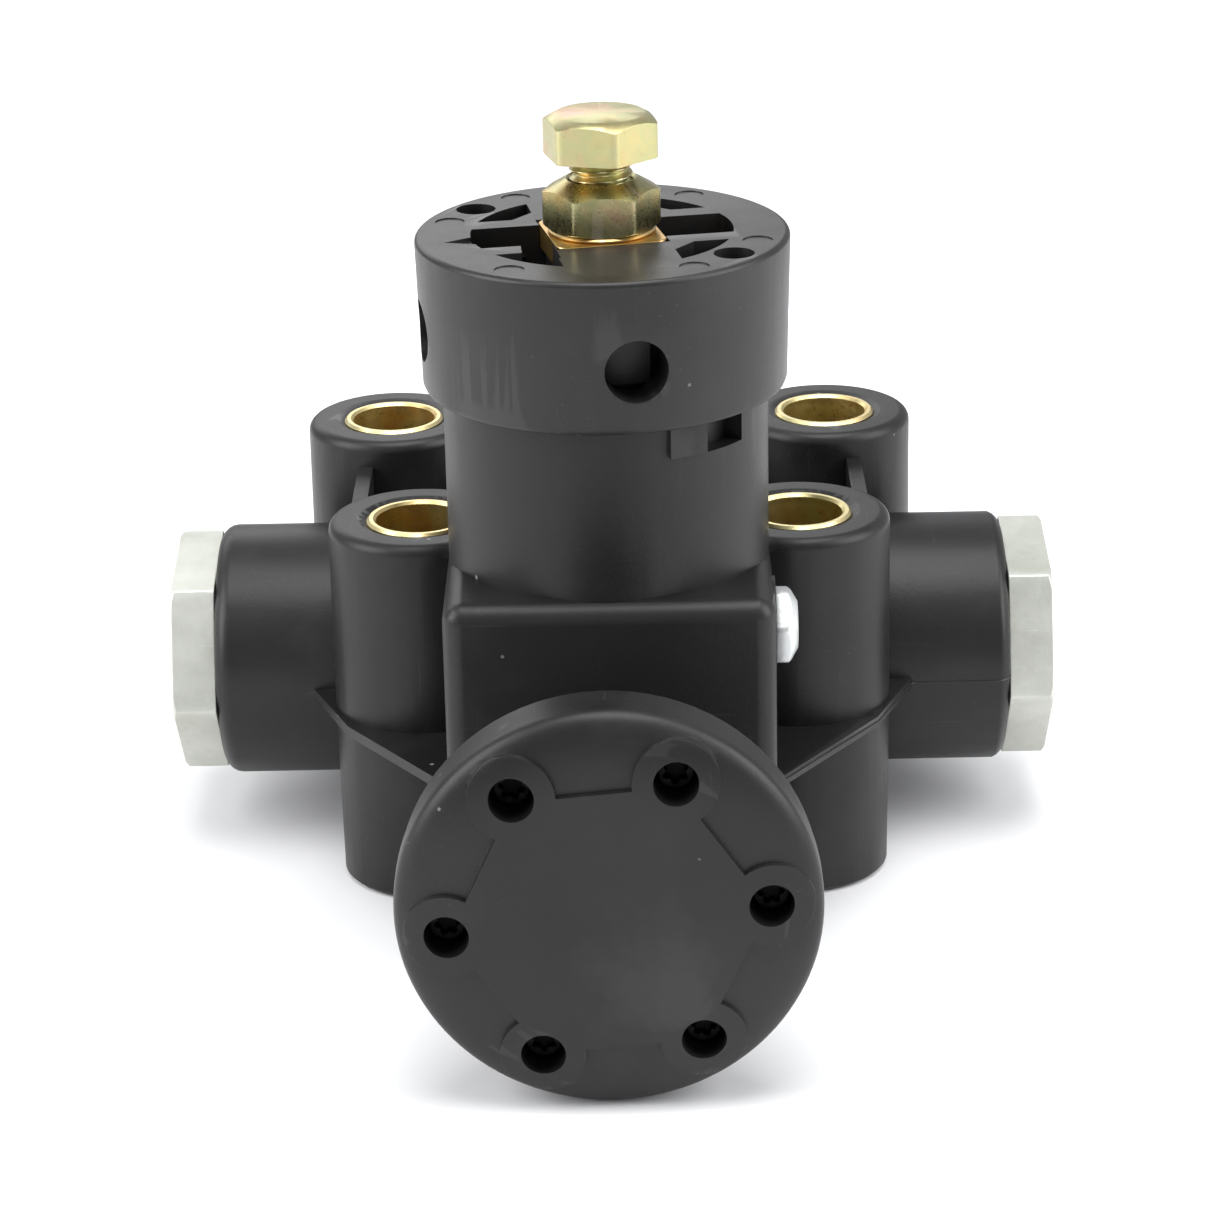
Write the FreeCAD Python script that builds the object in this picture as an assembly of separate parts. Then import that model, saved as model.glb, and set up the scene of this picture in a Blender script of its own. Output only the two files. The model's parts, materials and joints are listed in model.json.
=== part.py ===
import FreeCAD, Part
import math
import os

from FreeCAD import Vector

# A spring-set air flow control valve in moulded plastic, in millimetres.
# X runs along the two ports, left to right. Y runs from the round front cover
# to the back, and Z is up from the plane that the bolt posts stand on. The
# pieces are drawn round the point below the crossing of the ports, and moved
# at the end so that the origin is the middle of the valve's footprint.

X = Vector(1, 0, 0)
Y = Vector(0, 1, 0)
Z = Vector(0, 0, 1)

# Port tube, along X
PORT_Z = 23.5
TUBE_R = 17.2
TUBE_END = 53.7
TUBE_ROUND = 2.2

# Hexagon adapters in the tube ends
ADAPTER_FLATS = 28.6
ADAPTER_HEAD = 5.9
ADAPTER_R = 12.6
ADAPTER_DEPTH = 15.0
PORT_THREAD_R = 9.3
PORT_BORE_R = 8.5
PORT_BORE_END = 14.0

# Bolt posts and their sleeves
FRONT_POST = (24.85, -20.9)
REAR_POST = (30.45, 20.9)
POST_R = 12.1
POST_FOOT_R = 11.9
POST_TOP = 50.0
POST_ROUND = 1.5
SLEEVE_R = 6.95
SLEEVE_BORE_R = 5.75
SLEEVE_SINK = 1.2
WEB_X = 33.9
WEB_THICK = 2.0
WEB_TOP = 46.5

# Tower: a square box, a round neck and a thinner collar that the cap covers
TOWER_Y = -34.5
BOX_HALF = 20.6
BOX_FRONT = -56.5
BOX_BACK = -29.5
BOX_FLOOR = 9.0
BOX_TOP = 50.7
BOX_ROUND = 2.6
NECK_R = 20.4
NECK_TOP = 72.4
COLLAR_R = 17.2
COLLAR_TOP = 86.0
SPRING_BORE_R = 14.0
SPRING_BORE_FLOOR = 53.0

# Ledge at the mould's parting plane
LEDGE_HALF_THICK = 0.7
LEDGE_OUTLINE = ((44.0, -8.0), (34.8, -30.2), (20.0, -51.0))

# Main valve line, along Y
LINE_X = -0.5
LINE_Z = 25.2
RIM_R = 25.2
FLANGE_FACE = -85.0
FLANGE_BACK = -81.0
NOSE_R = 12.2
BOWL_R = 15.5
BOWL_FLOOR = -76.5
DIAPHRAGM_R = 17.0
DIAPHRAGM_THICK = 1.0
DISC_FRONT = FLANGE_FACE + 2.2
PLATE_R = 11.0
PLATE_THICK = 1.2
CHAMBER_R = 9.3
CHAMBER_FRONT = -14.0
PASSAGE_R = 5.5
PASSAGE_Y = 7.8
SPINDLE_R = 3.0
SPINDLE_CLEARANCE_R = 3.6
BUSH_R = 6.0
BUSH_BORE_R = 3.05
BUSH_FRONT = -60.0
BUSH_BACK = -50.0
SPINDLE_SEAL_LENGTH = 4.0
SEAT_R = 8.0
SEAT_BORE_R = 5.5
SEAT_HALF = 2.0
SEAT_GAP = 0.1
POPPET_R = 7.7
POPPET_RUBBER = 1.6
POPPET_BACK = 8.0
REAR_BOSS_R = 14.5
REAR_BOSS_END = 25.0
REAR_PLUG_INNER = 17.0

# Front cover
COVER_THICK = 6.8
COVER_RECESS = 3.7
SCREW_CIRCLE_R = 19.0
SCREW_COUNT = 6
SCREW_FIRST_ANGLE = 5.0
SCREW_WELL_R = 2.65
SCREW_WELL_FLOOR = 1.2
SCREW_HEAD_R = 2.5
SCREW_HEAD_THICK = 1.6
SCREW_R = 1.4
SCREW_REACH = 5.0
LOBE_R = 5.1
PLATEAU_FLAT = 16.2
PLATEAU_RISE = 0.7
SHOULDER_START_R = 13.5
SHOULDER_POWER = 2.6
SHOULDER_FOOT = 2.4

# Adjuster cap
CAP_TURN = 10.0
CAP_R = 23.25
CAP_FOOT_R = 22.8
CAP_BOTTOM = 72.7
CAP_TOP = 92.0
CAP_ROUND = 0.7
CAP_ROOF_THICK = 3.6
CAP_BORE_R = COLLAR_R + 0.3
CAP_PAD_R = 10.0
CAP_PAD_BOTTOM = 85.5
SPANNER_HOLE_R = 3.9
SPANNER_HOLE_Z = 80.8
PIN_HOLE_R = 2.5
PIN_CIRCLE_R = 19.5
SLOT_HALF = 4.4
SLOT_INNER = 6.4
OPENING_END_R = 16.3
WEDGE_SIDE = 7.2
WEDGE_FOOT = 7.5
WEDGE_CORNER = 2.9
MARK_R = 1.85
MARK_CIRCLE_R = 19.8
MARK_DEPTH = 0.15
MARK_ANGLES = (46, 114, 154, 226, 294, 334)
LUG_REACH = 1.6
LUG_SPAN = 24.0
LUG_BOTTOM = 74.2
LUG_TOP = 77.2
LUG_COUNT = 3
CAP_TRAVEL = 40.0

# Adjusting screw set: M8 hardware, 13 mm across the flats
THREAD_R = 3.93
NUT_BORE_R = 4.0
M8_FLATS = 12.85
SQUARE_SIDE = 13.9
SQUARE_THICK = 3.0
SQUARE_TOP = 92.1
SQUARE_TURN = 12.0
WASHER_R = 6.7
WASHER_THICK = 0.5
NUT_THICK = 6.2
NUT_FOOT_CHAMFER = 1.0
NUT_DOME = 3.0
NUT_TURN = 3.0
HEAD_BOTTOM = 101.6
HEAD_TOP = 106.9
HEAD_TURN = 45.0
HEAD_CHAMFER = 1.9
BOLT_TIP = 76.6
UPPER_SEAT_FLOOR = 76.5

# Control spring, pilot piston and pilot valve, on the tower's axis
UPPER_SEAT_BOTTOM = 74.0
PISTON_BOTTOM = 54.5
PISTON_TOP = 58.0
PISTON_R = 13.7
PISTON_GROOVE_R = 12.2
CONTROL_SPRING_R = 9.3
CONTROL_WIRE = 2.6
CONTROL_TURNS = 3.5
RETURN_SPRING_R = 5.9
RETURN_WIRE = 1.1
RETURN_TURNS = 5
PILOT_SPRING_R = 2.2
PILOT_WIRE = 0.6
PILOT_TURNS = 6
SPRING_GAP = 0.05
COIL_POINTS = 24
PILOT_STEM_R = 1.2
PILOT_SEAT_BOTTOM = 46.0
PILOT_SEAT_TOP = 52.0
PILOT_SEAT_R = 6.0
PILOT_SEAT_BORE_R = 1.8
PILOT_BALL_R = 2.6
PILOT_GAP = 0.06
PILOT_CAVITY_R = 4.0
PILOT_CAVITY_FLOOR = 31.0
DRILLING_R = 1.25

# Side plug
PLUG_Y = -44.3
PLUG_Z = 43.1
PLUG_BOSS_R = 6.2
PLUG_BOSS_PROUD = 0.2
PLUG_FLATS = 9.0
PLUG_HEAD = 2.8
PLUG_DOME = 2.2
PLUG_THREAD_R = 3.5

# From the crossing of the ports to the middle of the footprint
FRONT_MOST = FLANGE_FACE - COVER_THICK
REAR_MOST = REAR_POST[1] + POST_R
FRAME_SHIFT = -(FRONT_MOST + REAR_MOST) / 2


def placed(shape, base, axis):
    """The shape, moved from the origin and +Z to the base and the axis."""
    shape.Placement = FreeCAD.Placement(base, FreeCAD.Rotation(Z, axis))
    return shape


def rod(radius, start, end):
    axis = end.sub(start)
    return Part.makeCylinder(radius, axis.Length, start, axis)


def turned(profile, base=Vector(), axis=Z):
    """A solid of revolution from (radius, height) points."""
    points = [Vector(radius, 0, height) for radius, height in profile]
    face = Part.Face(Part.makePolygon(points + points[:1]))
    return placed(face.revolve(Vector(), Z, 360), base, axis)


def ring(outer, inner, length, base, axis):
    """A plain tube from the base along the axis."""
    return turned([(inner, 0), (outer, 0), (outer, length), (inner, length)], base, axis)


def prism(points, bottom, top):
    corners = [Vector(x, y, bottom) for x, y in points]
    face = Part.Face(Part.makePolygon(corners + corners[:1]))
    return face.extrude(Vector(0, 0, top - bottom))


def regular(sides, flats, turn):
    """Corners of a regular polygon with a given size across its flats."""
    corner = flats / 2 / math.cos(math.pi / sides)
    angles = [math.radians(turn + 360 * k / sides) for k in range(sides)]
    return [(corner * math.cos(a), corner * math.sin(a)) for a in angles]


def hexagon(flats, length, turn, foot, top):
    """A hexagon bar along +Z, its corners turned off at each end at 30 degrees."""
    corner = flats / math.sqrt(3) + 0.01
    slope = math.tan(math.radians(30))
    lathe = [(0, 0), (corner - foot, 0), (corner, foot * slope)]
    lathe += [(corner, length - top * slope), (corner - top, length), (0, length)]
    return prism(regular(6, flats, turn), 0, length).common(turned(lathe))


def sector(inner, outer, bottom, top, first, span):
    """Part of a ring about the Z axis, from the first angle over the span."""
    height = top - bottom
    whole = Part.makeCylinder(outer, height, Vector(0, 0, bottom), Z, span)
    whole = whole.cut(Part.makeCylinder(inner, height, Vector(0, 0, bottom)))
    whole.rotate(Vector(), Z, first)
    return whole


def coil(mean_radius, wire, length, turns, base, axis):
    """An open helical spring between two planes."""
    rise = length - wire - 2 * SPRING_GAP
    steps = int(COIL_POINTS * turns)
    points = []
    for k in range(steps + 1):
        a = 2 * math.pi * turns * k / steps
        points.append(Vector(mean_radius * math.cos(a), mean_radius * math.sin(a), rise * k / steps))
    path = Part.BSplineCurve()
    path.interpolate(points)
    heading = path.tangent(path.FirstParameter)[0]
    section = Part.Wire(Part.makeCircle(wire / 2, points[0], heading))
    spring = Part.Wire(path.toShape()).makePipeShell([section], True, True)
    return placed(spring, base + axis * (wire / 2 + SPRING_GAP), axis)


def joined(shapes):
    return shapes[0].fuse(shapes[1:])


def on_line(y):
    """A point of the main valve line."""
    return Vector(LINE_X, y, LINE_Z)


def on_tower(shape):
    """Moves a shape built round the Z axis onto the tower's axis."""
    shape.translate(Vector(0, TOWER_Y, 0))
    return shape


def posts():
    return [(side * x, y) for x, y in (FRONT_POST, REAR_POST) for side in (-1, 1)]


def screw_angles():
    return [SCREW_FIRST_ANGLE + 360 * k / SCREW_COUNT for k in range(SCREW_COUNT)]


def at_screws(radius, bottom, top):
    """Six round bars along local Z, on the cover's screw circle."""
    bars = []
    for angle in screw_angles():
        a = math.radians(angle)
        foot = Vector(SCREW_CIRCLE_R * math.cos(a), SCREW_CIRCLE_R * math.sin(a), bottom)
        bars.append(Part.makeCylinder(radius, top - bottom, foot))
    return bars


def port_tube():
    outline = [(0, -TUBE_END), (TUBE_R - TUBE_ROUND, -TUBE_END)]
    for end in (-1, 1):
        for step in range(1, 6):
            a = math.radians(18 * step if end < 0 else 90 - 18 * step)
            r = TUBE_R - TUBE_ROUND + TUBE_ROUND * math.sin(a)
            outline.append((r, end * (TUBE_END - TUBE_ROUND + TUBE_ROUND * math.cos(a))))
    outline += [(TUBE_R - TUBE_ROUND, TUBE_END), (0, TUBE_END)]
    return turned(outline, Vector(0, 0, PORT_Z), X)


def post(x, y):
    """A tapered bolt post with a rounded top rim, widest at the parting plane."""
    outline = [(0, 0), (POST_FOOT_R - 0.5, 0), (POST_FOOT_R, 0.5), (POST_R, PORT_Z)]
    for step in range(0, 6):
        a = math.radians(18 * step)
        r = POST_R - 0.1 - POST_ROUND + POST_ROUND * math.cos(a)
        outline.append((r, POST_TOP - POST_ROUND + POST_ROUND * math.sin(a)))
    outline.append((0, POST_TOP))
    return turned(outline, Vector(x, y, 0))


def ledge():
    right = list(LEDGE_OUTLINE)
    left = [(-x, y) for x, y in reversed(right)]
    bottom = PORT_Z - LEDGE_HALF_THICK
    return prism(right + left, bottom, PORT_Z + LEDGE_HALF_THICK)


def tower_box():
    size = Vector(2 * BOX_HALF, BOX_BACK - BOX_FRONT, BOX_TOP - BOX_FLOOR)
    box = Part.makeBox(size.x, size.y, size.z, Vector(-BOX_HALF, BOX_FRONT, BOX_FLOOR))
    rounded = []
    for edge in box.Edges:
        in_front = max(v.Y for v in edge.Vertexes) < BOX_FRONT + 0.1
        on_top = min(v.Z for v in edge.Vertexes) > BOX_TOP - 0.1
        at_back = min(v.Y for v in edge.Vertexes) > BOX_BACK - 0.1
        if in_front or (on_top and not at_back):
            rounded.append(edge)
    return box.makeFillet(BOX_ROUND, rounded)


def nose():
    """The bell that carries the front cover, built along -Y from the box."""
    start = BOX_FRONT + 6
    profile = [(0, start), (NOSE_R, start), (NOSE_R, BOX_FRONT), (17.0, -71.0)]
    profile += [(21.6, FLANGE_BACK + 1.4), (RIM_R - 0.9, FLANGE_BACK)]
    profile += [(RIM_R - 0.3, FLANGE_BACK - 0.6), (RIM_R - 0.3, FLANGE_FACE), (0, FLANGE_FACE)]
    outline = [(radius, -y) for radius, y in profile]
    return turned(outline, on_line(0), -Y)


def body_outside():
    webs = []
    for side in (-1, 1):
        corner = Vector(side * WEB_X - WEB_THICK / 2, FRONT_POST[1], 10)
        webs.append(Part.makeBox(WEB_THICK, REAR_POST[1] - FRONT_POST[1], WEB_TOP - 10, corner))
    plug_boss = rod(PLUG_BOSS_R, Vector(BOX_HALF - 1, PLUG_Y, PLUG_Z),
                    Vector(BOX_HALF + PLUG_BOSS_PROUD, PLUG_Y, PLUG_Z))
    saddle_corner = Vector(-16, BOX_BACK - 1, BOX_FLOOR)
    saddle = Part.makeBox(32, REAR_POST[1] - BOX_BACK - 4, 35, saddle_corner)
    neck = turned([(0, 40), (NECK_R, 40), (NECK_R, NECK_TOP), (COLLAR_R, NECK_TOP),
                   (COLLAR_R, COLLAR_TOP), (0, COLLAR_TOP)])
    tooth = sector(NECK_R - 1, NECK_R + 0.7, 68.7, NECK_TOP, -68, 14)
    boss = rod(REAR_BOSS_R, on_line(0), on_line(REAR_BOSS_END))
    pieces = [port_tube(), ledge(), tower_box(), nose(), saddle, boss, plug_boss]
    pieces += [on_tower(shape) for shape in (neck, tooth)]
    pieces += [post(x, y) for x, y in posts()]
    return joined(pieces + webs)


def post_bores():
    cuts = []
    for x, y in posts():
        cuts.append(rod(SLEEVE_R, Vector(x, y, -1), Vector(x, y, POST_TOP + 20)))
        sink = Vector(x, y, POST_TOP - 0.6)
        cuts.append(Part.makeCone(SLEEVE_R, SLEEVE_R + 1.5 * SLEEVE_SINK, 0.9, sink))
    return cuts


def port_bores():
    """Each port opens into its own side of the main seat."""
    cuts = [rod(CHAMBER_R, on_line(CHAMBER_FRONT), on_line(-SEAT_HALF)),
            rod(CHAMBER_R, on_line(SEAT_HALF), on_line(REAR_BOSS_END + 1)),
            rod(SEAT_R, on_line(-SEAT_HALF), on_line(SEAT_HALF))]
    for side in (-1, 1):
        mouth = Vector(side * (TUBE_END + 1), 0, PORT_Z)
        shoulder = Vector(side * (TUBE_END - ADAPTER_DEPTH), 0, PORT_Z)
        inner = Vector(side * PORT_BORE_END, 0, PORT_Z)
        cuts.append(rod(ADAPTER_R, mouth, shoulder))
        cuts.append(rod(PORT_BORE_R, shoulder, inner))
        passage = Vector(side * (PORT_BORE_END + 1), side * PASSAGE_Y, PORT_Z + 0.8)
        cuts.append(rod(PASSAGE_R, passage, Vector(0, side * PASSAGE_Y, PORT_Z + 0.8)))
    return cuts


def line_bores():
    """Bowl, bush bore and spindle bore behind the cover, with the screw holes."""
    seal_back = BUSH_BACK + SPINDLE_SEAL_LENGTH
    cuts = [rod(BOWL_R, on_line(FLANGE_FACE), on_line(BOWL_FLOOR)),
            rod(DIAPHRAGM_R, on_line(FLANGE_FACE), on_line(FLANGE_FACE + DIAPHRAGM_THICK)),
            rod(BUSH_R, on_line(BOWL_FLOOR), on_line(seal_back)),
            rod(SPINDLE_CLEARANCE_R, on_line(seal_back), on_line(CHAMBER_FRONT))]
    holes = Part.makeCompound(at_screws(SCREW_R, -SCREW_REACH - 0.5, 1))
    return cuts + [placed(holes, on_line(FLANGE_FACE), -Y)]


def pilot_bores():
    top = Vector(0, TOWER_Y, COLLAR_TOP + 1)
    floor = Vector(0, TOWER_Y, SPRING_BORE_FLOOR)
    seat_floor = Vector(0, TOWER_Y, PILOT_SEAT_BOTTOM)
    cavity_floor = Vector(0, TOWER_Y, PILOT_CAVITY_FLOOR)
    drilling_y = TOWER_Y - 10.5
    supply_z = PILOT_CAVITY_FLOOR + 1.5
    feed_z = LINE_Z + 9
    return [rod(SPRING_BORE_R, top, floor),
            rod(PILOT_SEAT_R, floor, seat_floor),
            rod(PILOT_CAVITY_R, seat_floor, cavity_floor),
            rod(DRILLING_R, Vector(0, TOWER_Y, supply_z), Vector(0, CHAMBER_FRONT + 1, supply_z)),
            rod(DRILLING_R, Vector(0, drilling_y, SPRING_BORE_FLOOR), Vector(0, drilling_y, feed_z)),
            rod(DRILLING_R, Vector(0, drilling_y, feed_z), Vector(0, BOWL_FLOOR - 1, feed_z))]


def bayonet_cuts():
    """Grooves for the cap's lugs, each with a way in from the top, and a notch."""
    floor_r = CAP_BORE_R - LUG_REACH - 0.3
    cuts = []
    for k in range(LUG_COUNT):
        first = CAP_TURN + 360 * k / LUG_COUNT - 1
        groove = sector(floor_r, COLLAR_R + 1, LUG_BOTTOM - 0.3, LUG_TOP + 0.3,
                        first, LUG_SPAN + CAP_TRAVEL + 2)
        entry = sector(floor_r, COLLAR_R + 1, LUG_BOTTOM, COLLAR_TOP + 1,
                       first + CAP_TRAVEL, LUG_SPAN + 2)
        cuts += [on_tower(groove), on_tower(entry)]
    notch = sector(NECK_R - 2.6, NECK_R + 2, 68.4, NECK_TOP + 0.1, -54, 19)
    return cuts + [on_tower(notch)]


def side_plug_bore():
    mouth = Vector(BOX_HALF + 2, PLUG_Y, PLUG_Z)
    return rod(PLUG_THREAD_R, mouth, Vector(BOX_HALF - 7, PLUG_Y, PLUG_Z))


def body():
    cuts = post_bores() + port_bores() + line_bores() + pilot_bores() + bayonet_cuts()
    return body_outside().cut(cuts + [side_plug_bore()])


def sleeve(x, y):
    """A rolled steel compression limiter, the full height of its post."""
    edge = 0.35
    profile = [(SLEEVE_BORE_R + edge, 0), (SLEEVE_R, 0), (SLEEVE_R, POST_TOP - edge),
               (SLEEVE_R - edge, POST_TOP), (SLEEVE_BORE_R + edge, POST_TOP),
               (SLEEVE_BORE_R, POST_TOP - edge), (SLEEVE_BORE_R, edge)]
    return turned(profile, Vector(x, y, 0))


def port_adapter(side):
    """A hexagon adapter with a spigot inside the tube and a pipe thread bore."""
    axis = Vector(side, 0, 0)
    face = Vector(side * TUBE_END, 0, PORT_Z)
    turn = 30 + side * 10
    head = placed(hexagon(ADAPTER_FLATS, ADAPTER_HEAD, turn, 0.2, 0.8), face, axis)
    spigot = rod(ADAPTER_R, Vector(side * (TUBE_END - ADAPTER_DEPTH), 0, PORT_Z), face)
    groove = ring(ADAPTER_R + 1, ADAPTER_R - 1.5, 2.2,
                  Vector(side * (TUBE_END - 4), 0, PORT_Z), -axis)
    bore = rod(PORT_THREAD_R, Vector(side * (TUBE_END - ADAPTER_DEPTH - 1), 0, PORT_Z),
               Vector(side * (TUBE_END + ADAPTER_HEAD + 1), 0, PORT_Z))
    lead = Part.makeCone(PORT_THREAD_R, PORT_THREAD_R + 1.5, 1.5,
                         Vector(side * (TUBE_END + ADAPTER_HEAD - 1.5), 0, PORT_Z), axis)
    return head.fuse(spigot).cut([groove, bore, lead])


def adapter_seal(side):
    axis = Vector(-side, 0, 0)
    base = Vector(side * (TUBE_END - 4.2), 0, PORT_Z)
    return ring(ADAPTER_R, ADAPTER_R - 1.5, 1.8, base, axis)


def side_plug():
    face = Vector(BOX_HALF + PLUG_BOSS_PROUD, PLUG_Y, PLUG_Z)
    head = placed(hexagon(PLUG_FLATS, PLUG_HEAD, 18, 0, PLUG_DOME), face, X)
    return head.fuse(rod(PLUG_THREAD_R, face, Vector(BOX_HALF - 6, PLUG_Y, PLUG_Z)))


def cover_dome(lift):
    """The cover's disc, flat in the middle and falling away to a rounded rim."""
    top = COVER_THICK - PLATEAU_RISE + lift
    foot = SHOULDER_FOOT + lift
    outline = [(0, 0), (RIM_R, 0)]
    for step in range(0, 17):
        a = math.radians(90 * step / 16)
        out = math.cos(a) ** (2 / SHOULDER_POWER)
        up = math.sin(a) ** (2 / SHOULDER_POWER)
        radius = SHOULDER_START_R + (RIM_R - SHOULDER_START_R) * out
        outline.append((radius, foot + (top - foot) * up))
    outline.append((0, top))
    return turned(outline)


def front_cover():
    """A domed disc with a raised plateau that reaches out round each screw."""
    flats = regular(6, 2 * PLATEAU_FLAT, SCREW_FIRST_ANGLE)
    plateau = prism(flats, 3, COVER_THICK).fuse(at_screws(LOBE_R, 3, COVER_THICK))
    shape = cover_dome(0).fuse(plateau.common(cover_dome(PLATEAU_RISE)))
    wells = at_screws(SCREW_WELL_R, SCREW_WELL_FLOOR, COVER_THICK + 1)
    clearance = at_screws(SCREW_R + 0.25, -1, COVER_THICK)
    recess = Part.makeCylinder(BOWL_R, COVER_RECESS)
    return placed(shape.cut(wells + clearance + [recess]), on_line(FLANGE_FACE), -Y)


def cover_screws():
    """Six thread-forming screws with a six-lobed drive, as separate solids."""
    screws = []
    for shank, head, drive in zip(at_screws(SCREW_R, -SCREW_REACH, SCREW_WELL_FLOOR),
                                  at_screws(SCREW_HEAD_R, SCREW_WELL_FLOOR,
                                            SCREW_WELL_FLOOR + SCREW_HEAD_THICK),
                                  at_screws(1.2, SCREW_WELL_FLOOR + 0.8, COVER_THICK)):
        screws.append(shank.fuse(head).cut(drive))
    return placed(Part.makeCompound(screws), on_line(FLANGE_FACE), -Y)


def diaphragm():
    """A clamped rim, a dished wall and a flat middle set further back."""
    dish = DISC_FRONT - FLANGE_FACE
    back = dish + DIAPHRAGM_THICK
    profile = [(SPINDLE_R, dish), (12.0, dish), (15.4, 0), (DIAPHRAGM_R, 0),
               (DIAPHRAGM_R, DIAPHRAGM_THICK), (15.2, DIAPHRAGM_THICK), (11.8, back),
               (SPINDLE_R, back)]
    return turned(profile, on_line(FLANGE_FACE), Y)


def diaphragm_plate(start, direction):
    profile = [(SPINDLE_R, 0), (PLATE_R, 0), (PLATE_R, PLATE_THICK - 0.4),
               (PLATE_R - 0.4, PLATE_THICK), (SPINDLE_R, PLATE_THICK)]
    return turned(profile, on_line(start), direction)


def main_spindle():
    collar_front = DISC_FRONT + DIAPHRAGM_THICK + PLATE_THICK
    tip = DISC_FRONT - PLATE_THICK - 2.2
    profile = [(0, tip), (SPINDLE_R - 0.5, tip), (SPINDLE_R, tip + 0.5), (SPINDLE_R, collar_front),
               (4.5, collar_front), (4.5, collar_front + 1.5), (SPINDLE_R, collar_front + 1.5),
               (SPINDLE_R, POPPET_BACK + 0.5), (0, POPPET_BACK + 0.5)]
    return turned(profile, on_line(0), Y)


def spindle_nut():
    start = on_line(DISC_FRONT - PLATE_THICK)
    nut = hexagon(8.0, 2.0, 0, 0.3, 0.5).cut(Part.makeCylinder(SPINDLE_R, 5, Vector(0, 0, -1)))
    return placed(nut, start, -Y)


def valve_seat():
    """A ring with a raised knife edge towards the poppet."""
    profile = [(SEAT_BORE_R, -SEAT_HALF), (SEAT_R, -SEAT_HALF), (SEAT_R, SEAT_HALF - 0.6),
               (SEAT_BORE_R + 1.2, SEAT_HALF - 0.6), (SEAT_BORE_R + 0.5, SEAT_HALF),
               (SEAT_BORE_R, SEAT_HALF)]
    return turned(profile, on_line(0), Y)


def poppet_seal():
    return ring(POPPET_R - 0.3, SPINDLE_R, POPPET_RUBBER, on_line(SEAT_HALF + SEAT_GAP), Y)


def main_poppet():
    front = SEAT_HALF + SEAT_GAP + POPPET_RUBBER
    profile = [(SPINDLE_R, front), (POPPET_R, front), (POPPET_R, front + 2), (4.6, front + 2.6),
               (4.6, POPPET_BACK), (SPINDLE_R, POPPET_BACK)]
    return turned(profile, on_line(0), Y)


def rear_plug():
    """A hexagon plug that closes the rear chamber and seats the return spring."""
    face = REAR_BOSS_END + 0.8
    head = placed(hexagon(22.0, 4.4, 0, 0, 1.4), on_line(face), Y)
    thread = rod(CHAMBER_R, on_line(REAR_PLUG_INNER), on_line(face))
    pocket = rod(7.2, on_line(REAR_PLUG_INNER), on_line(REAR_PLUG_INNER + 4))
    return head.fuse(thread).cut(pocket)


def neck_hole(radius):
    return Part.makeCylinder(radius, 60, Vector(0, 0, 60))


def cap_openings():
    """The roof's two long slots, four corner wedges and two pin holes."""
    reach = Part.makeCylinder(OPENING_END_R, 30, Vector(0, 0, CAP_PAD_BOTTOM - 10))
    low, high = CAP_PAD_BOTTOM - 2, CAP_TOP + 2
    slot = prism([(SLOT_INNER, -SLOT_HALF), (20, -SLOT_HALF), (20, SLOT_HALF),
                  (SLOT_INNER, SLOT_HALF)], low, high)
    wedge = prism([(WEDGE_SIDE, WEDGE_FOOT + WEDGE_CORNER), (WEDGE_SIDE + WEDGE_CORNER, WEDGE_FOOT),
                   (20, WEDGE_FOOT), (20, 20), (WEDGE_SIDE, 20)], low, high)
    pin_foot = Vector(PIN_CIRCLE_R, 0, CAP_TOP - 6)
    pin = Part.makeCylinder(PIN_HOLE_R, 8, pin_foot)
    pin.rotate(Vector(), Z, 135)
    halves = [slot.common(reach), wedge.common(reach), pin]
    halves.append(halves[1].mirror(Vector(), Y))
    cuts = halves + [shape.mirror(Vector(), X).mirror(Vector(), Y) for shape in halves]
    joint = [(-6.9, -4.0), (-10.8, -4.0), (-11.2, -7.7), (-6.9, -11.0)]
    sliver = [(-19.8, -0.7), (-16.0, -2.4), (-16.0, 1.0)]
    return cuts + [prism(joint, low, high), prism(sliver, CAP_TOP - 0.6, high)]


def ejector_marks():
    """Shallow round marks left in the cap's roof by the mould's pins."""
    marks = []
    for angle in MARK_ANGLES:
        a = math.radians(angle)
        foot = Vector(MARK_CIRCLE_R * math.cos(a), MARK_CIRCLE_R * math.sin(a), CAP_TOP - MARK_DEPTH)
        marks.append(Part.makeCylinder(MARK_R, 1, foot))
    return marks


def spanner_holes():
    """Four round holes through the cap's skirt."""
    holes = []
    for quarter in range(4):
        hole = rod(SPANNER_HOLE_R, Vector(CAP_BORE_R - 2, 0, SPANNER_HOLE_Z),
                   Vector(CAP_R + 2, 0, SPANNER_HOLE_Z))
        hole.rotate(Vector(), Z, 90 * quarter)
        holes.append(hole)
    return holes


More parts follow.
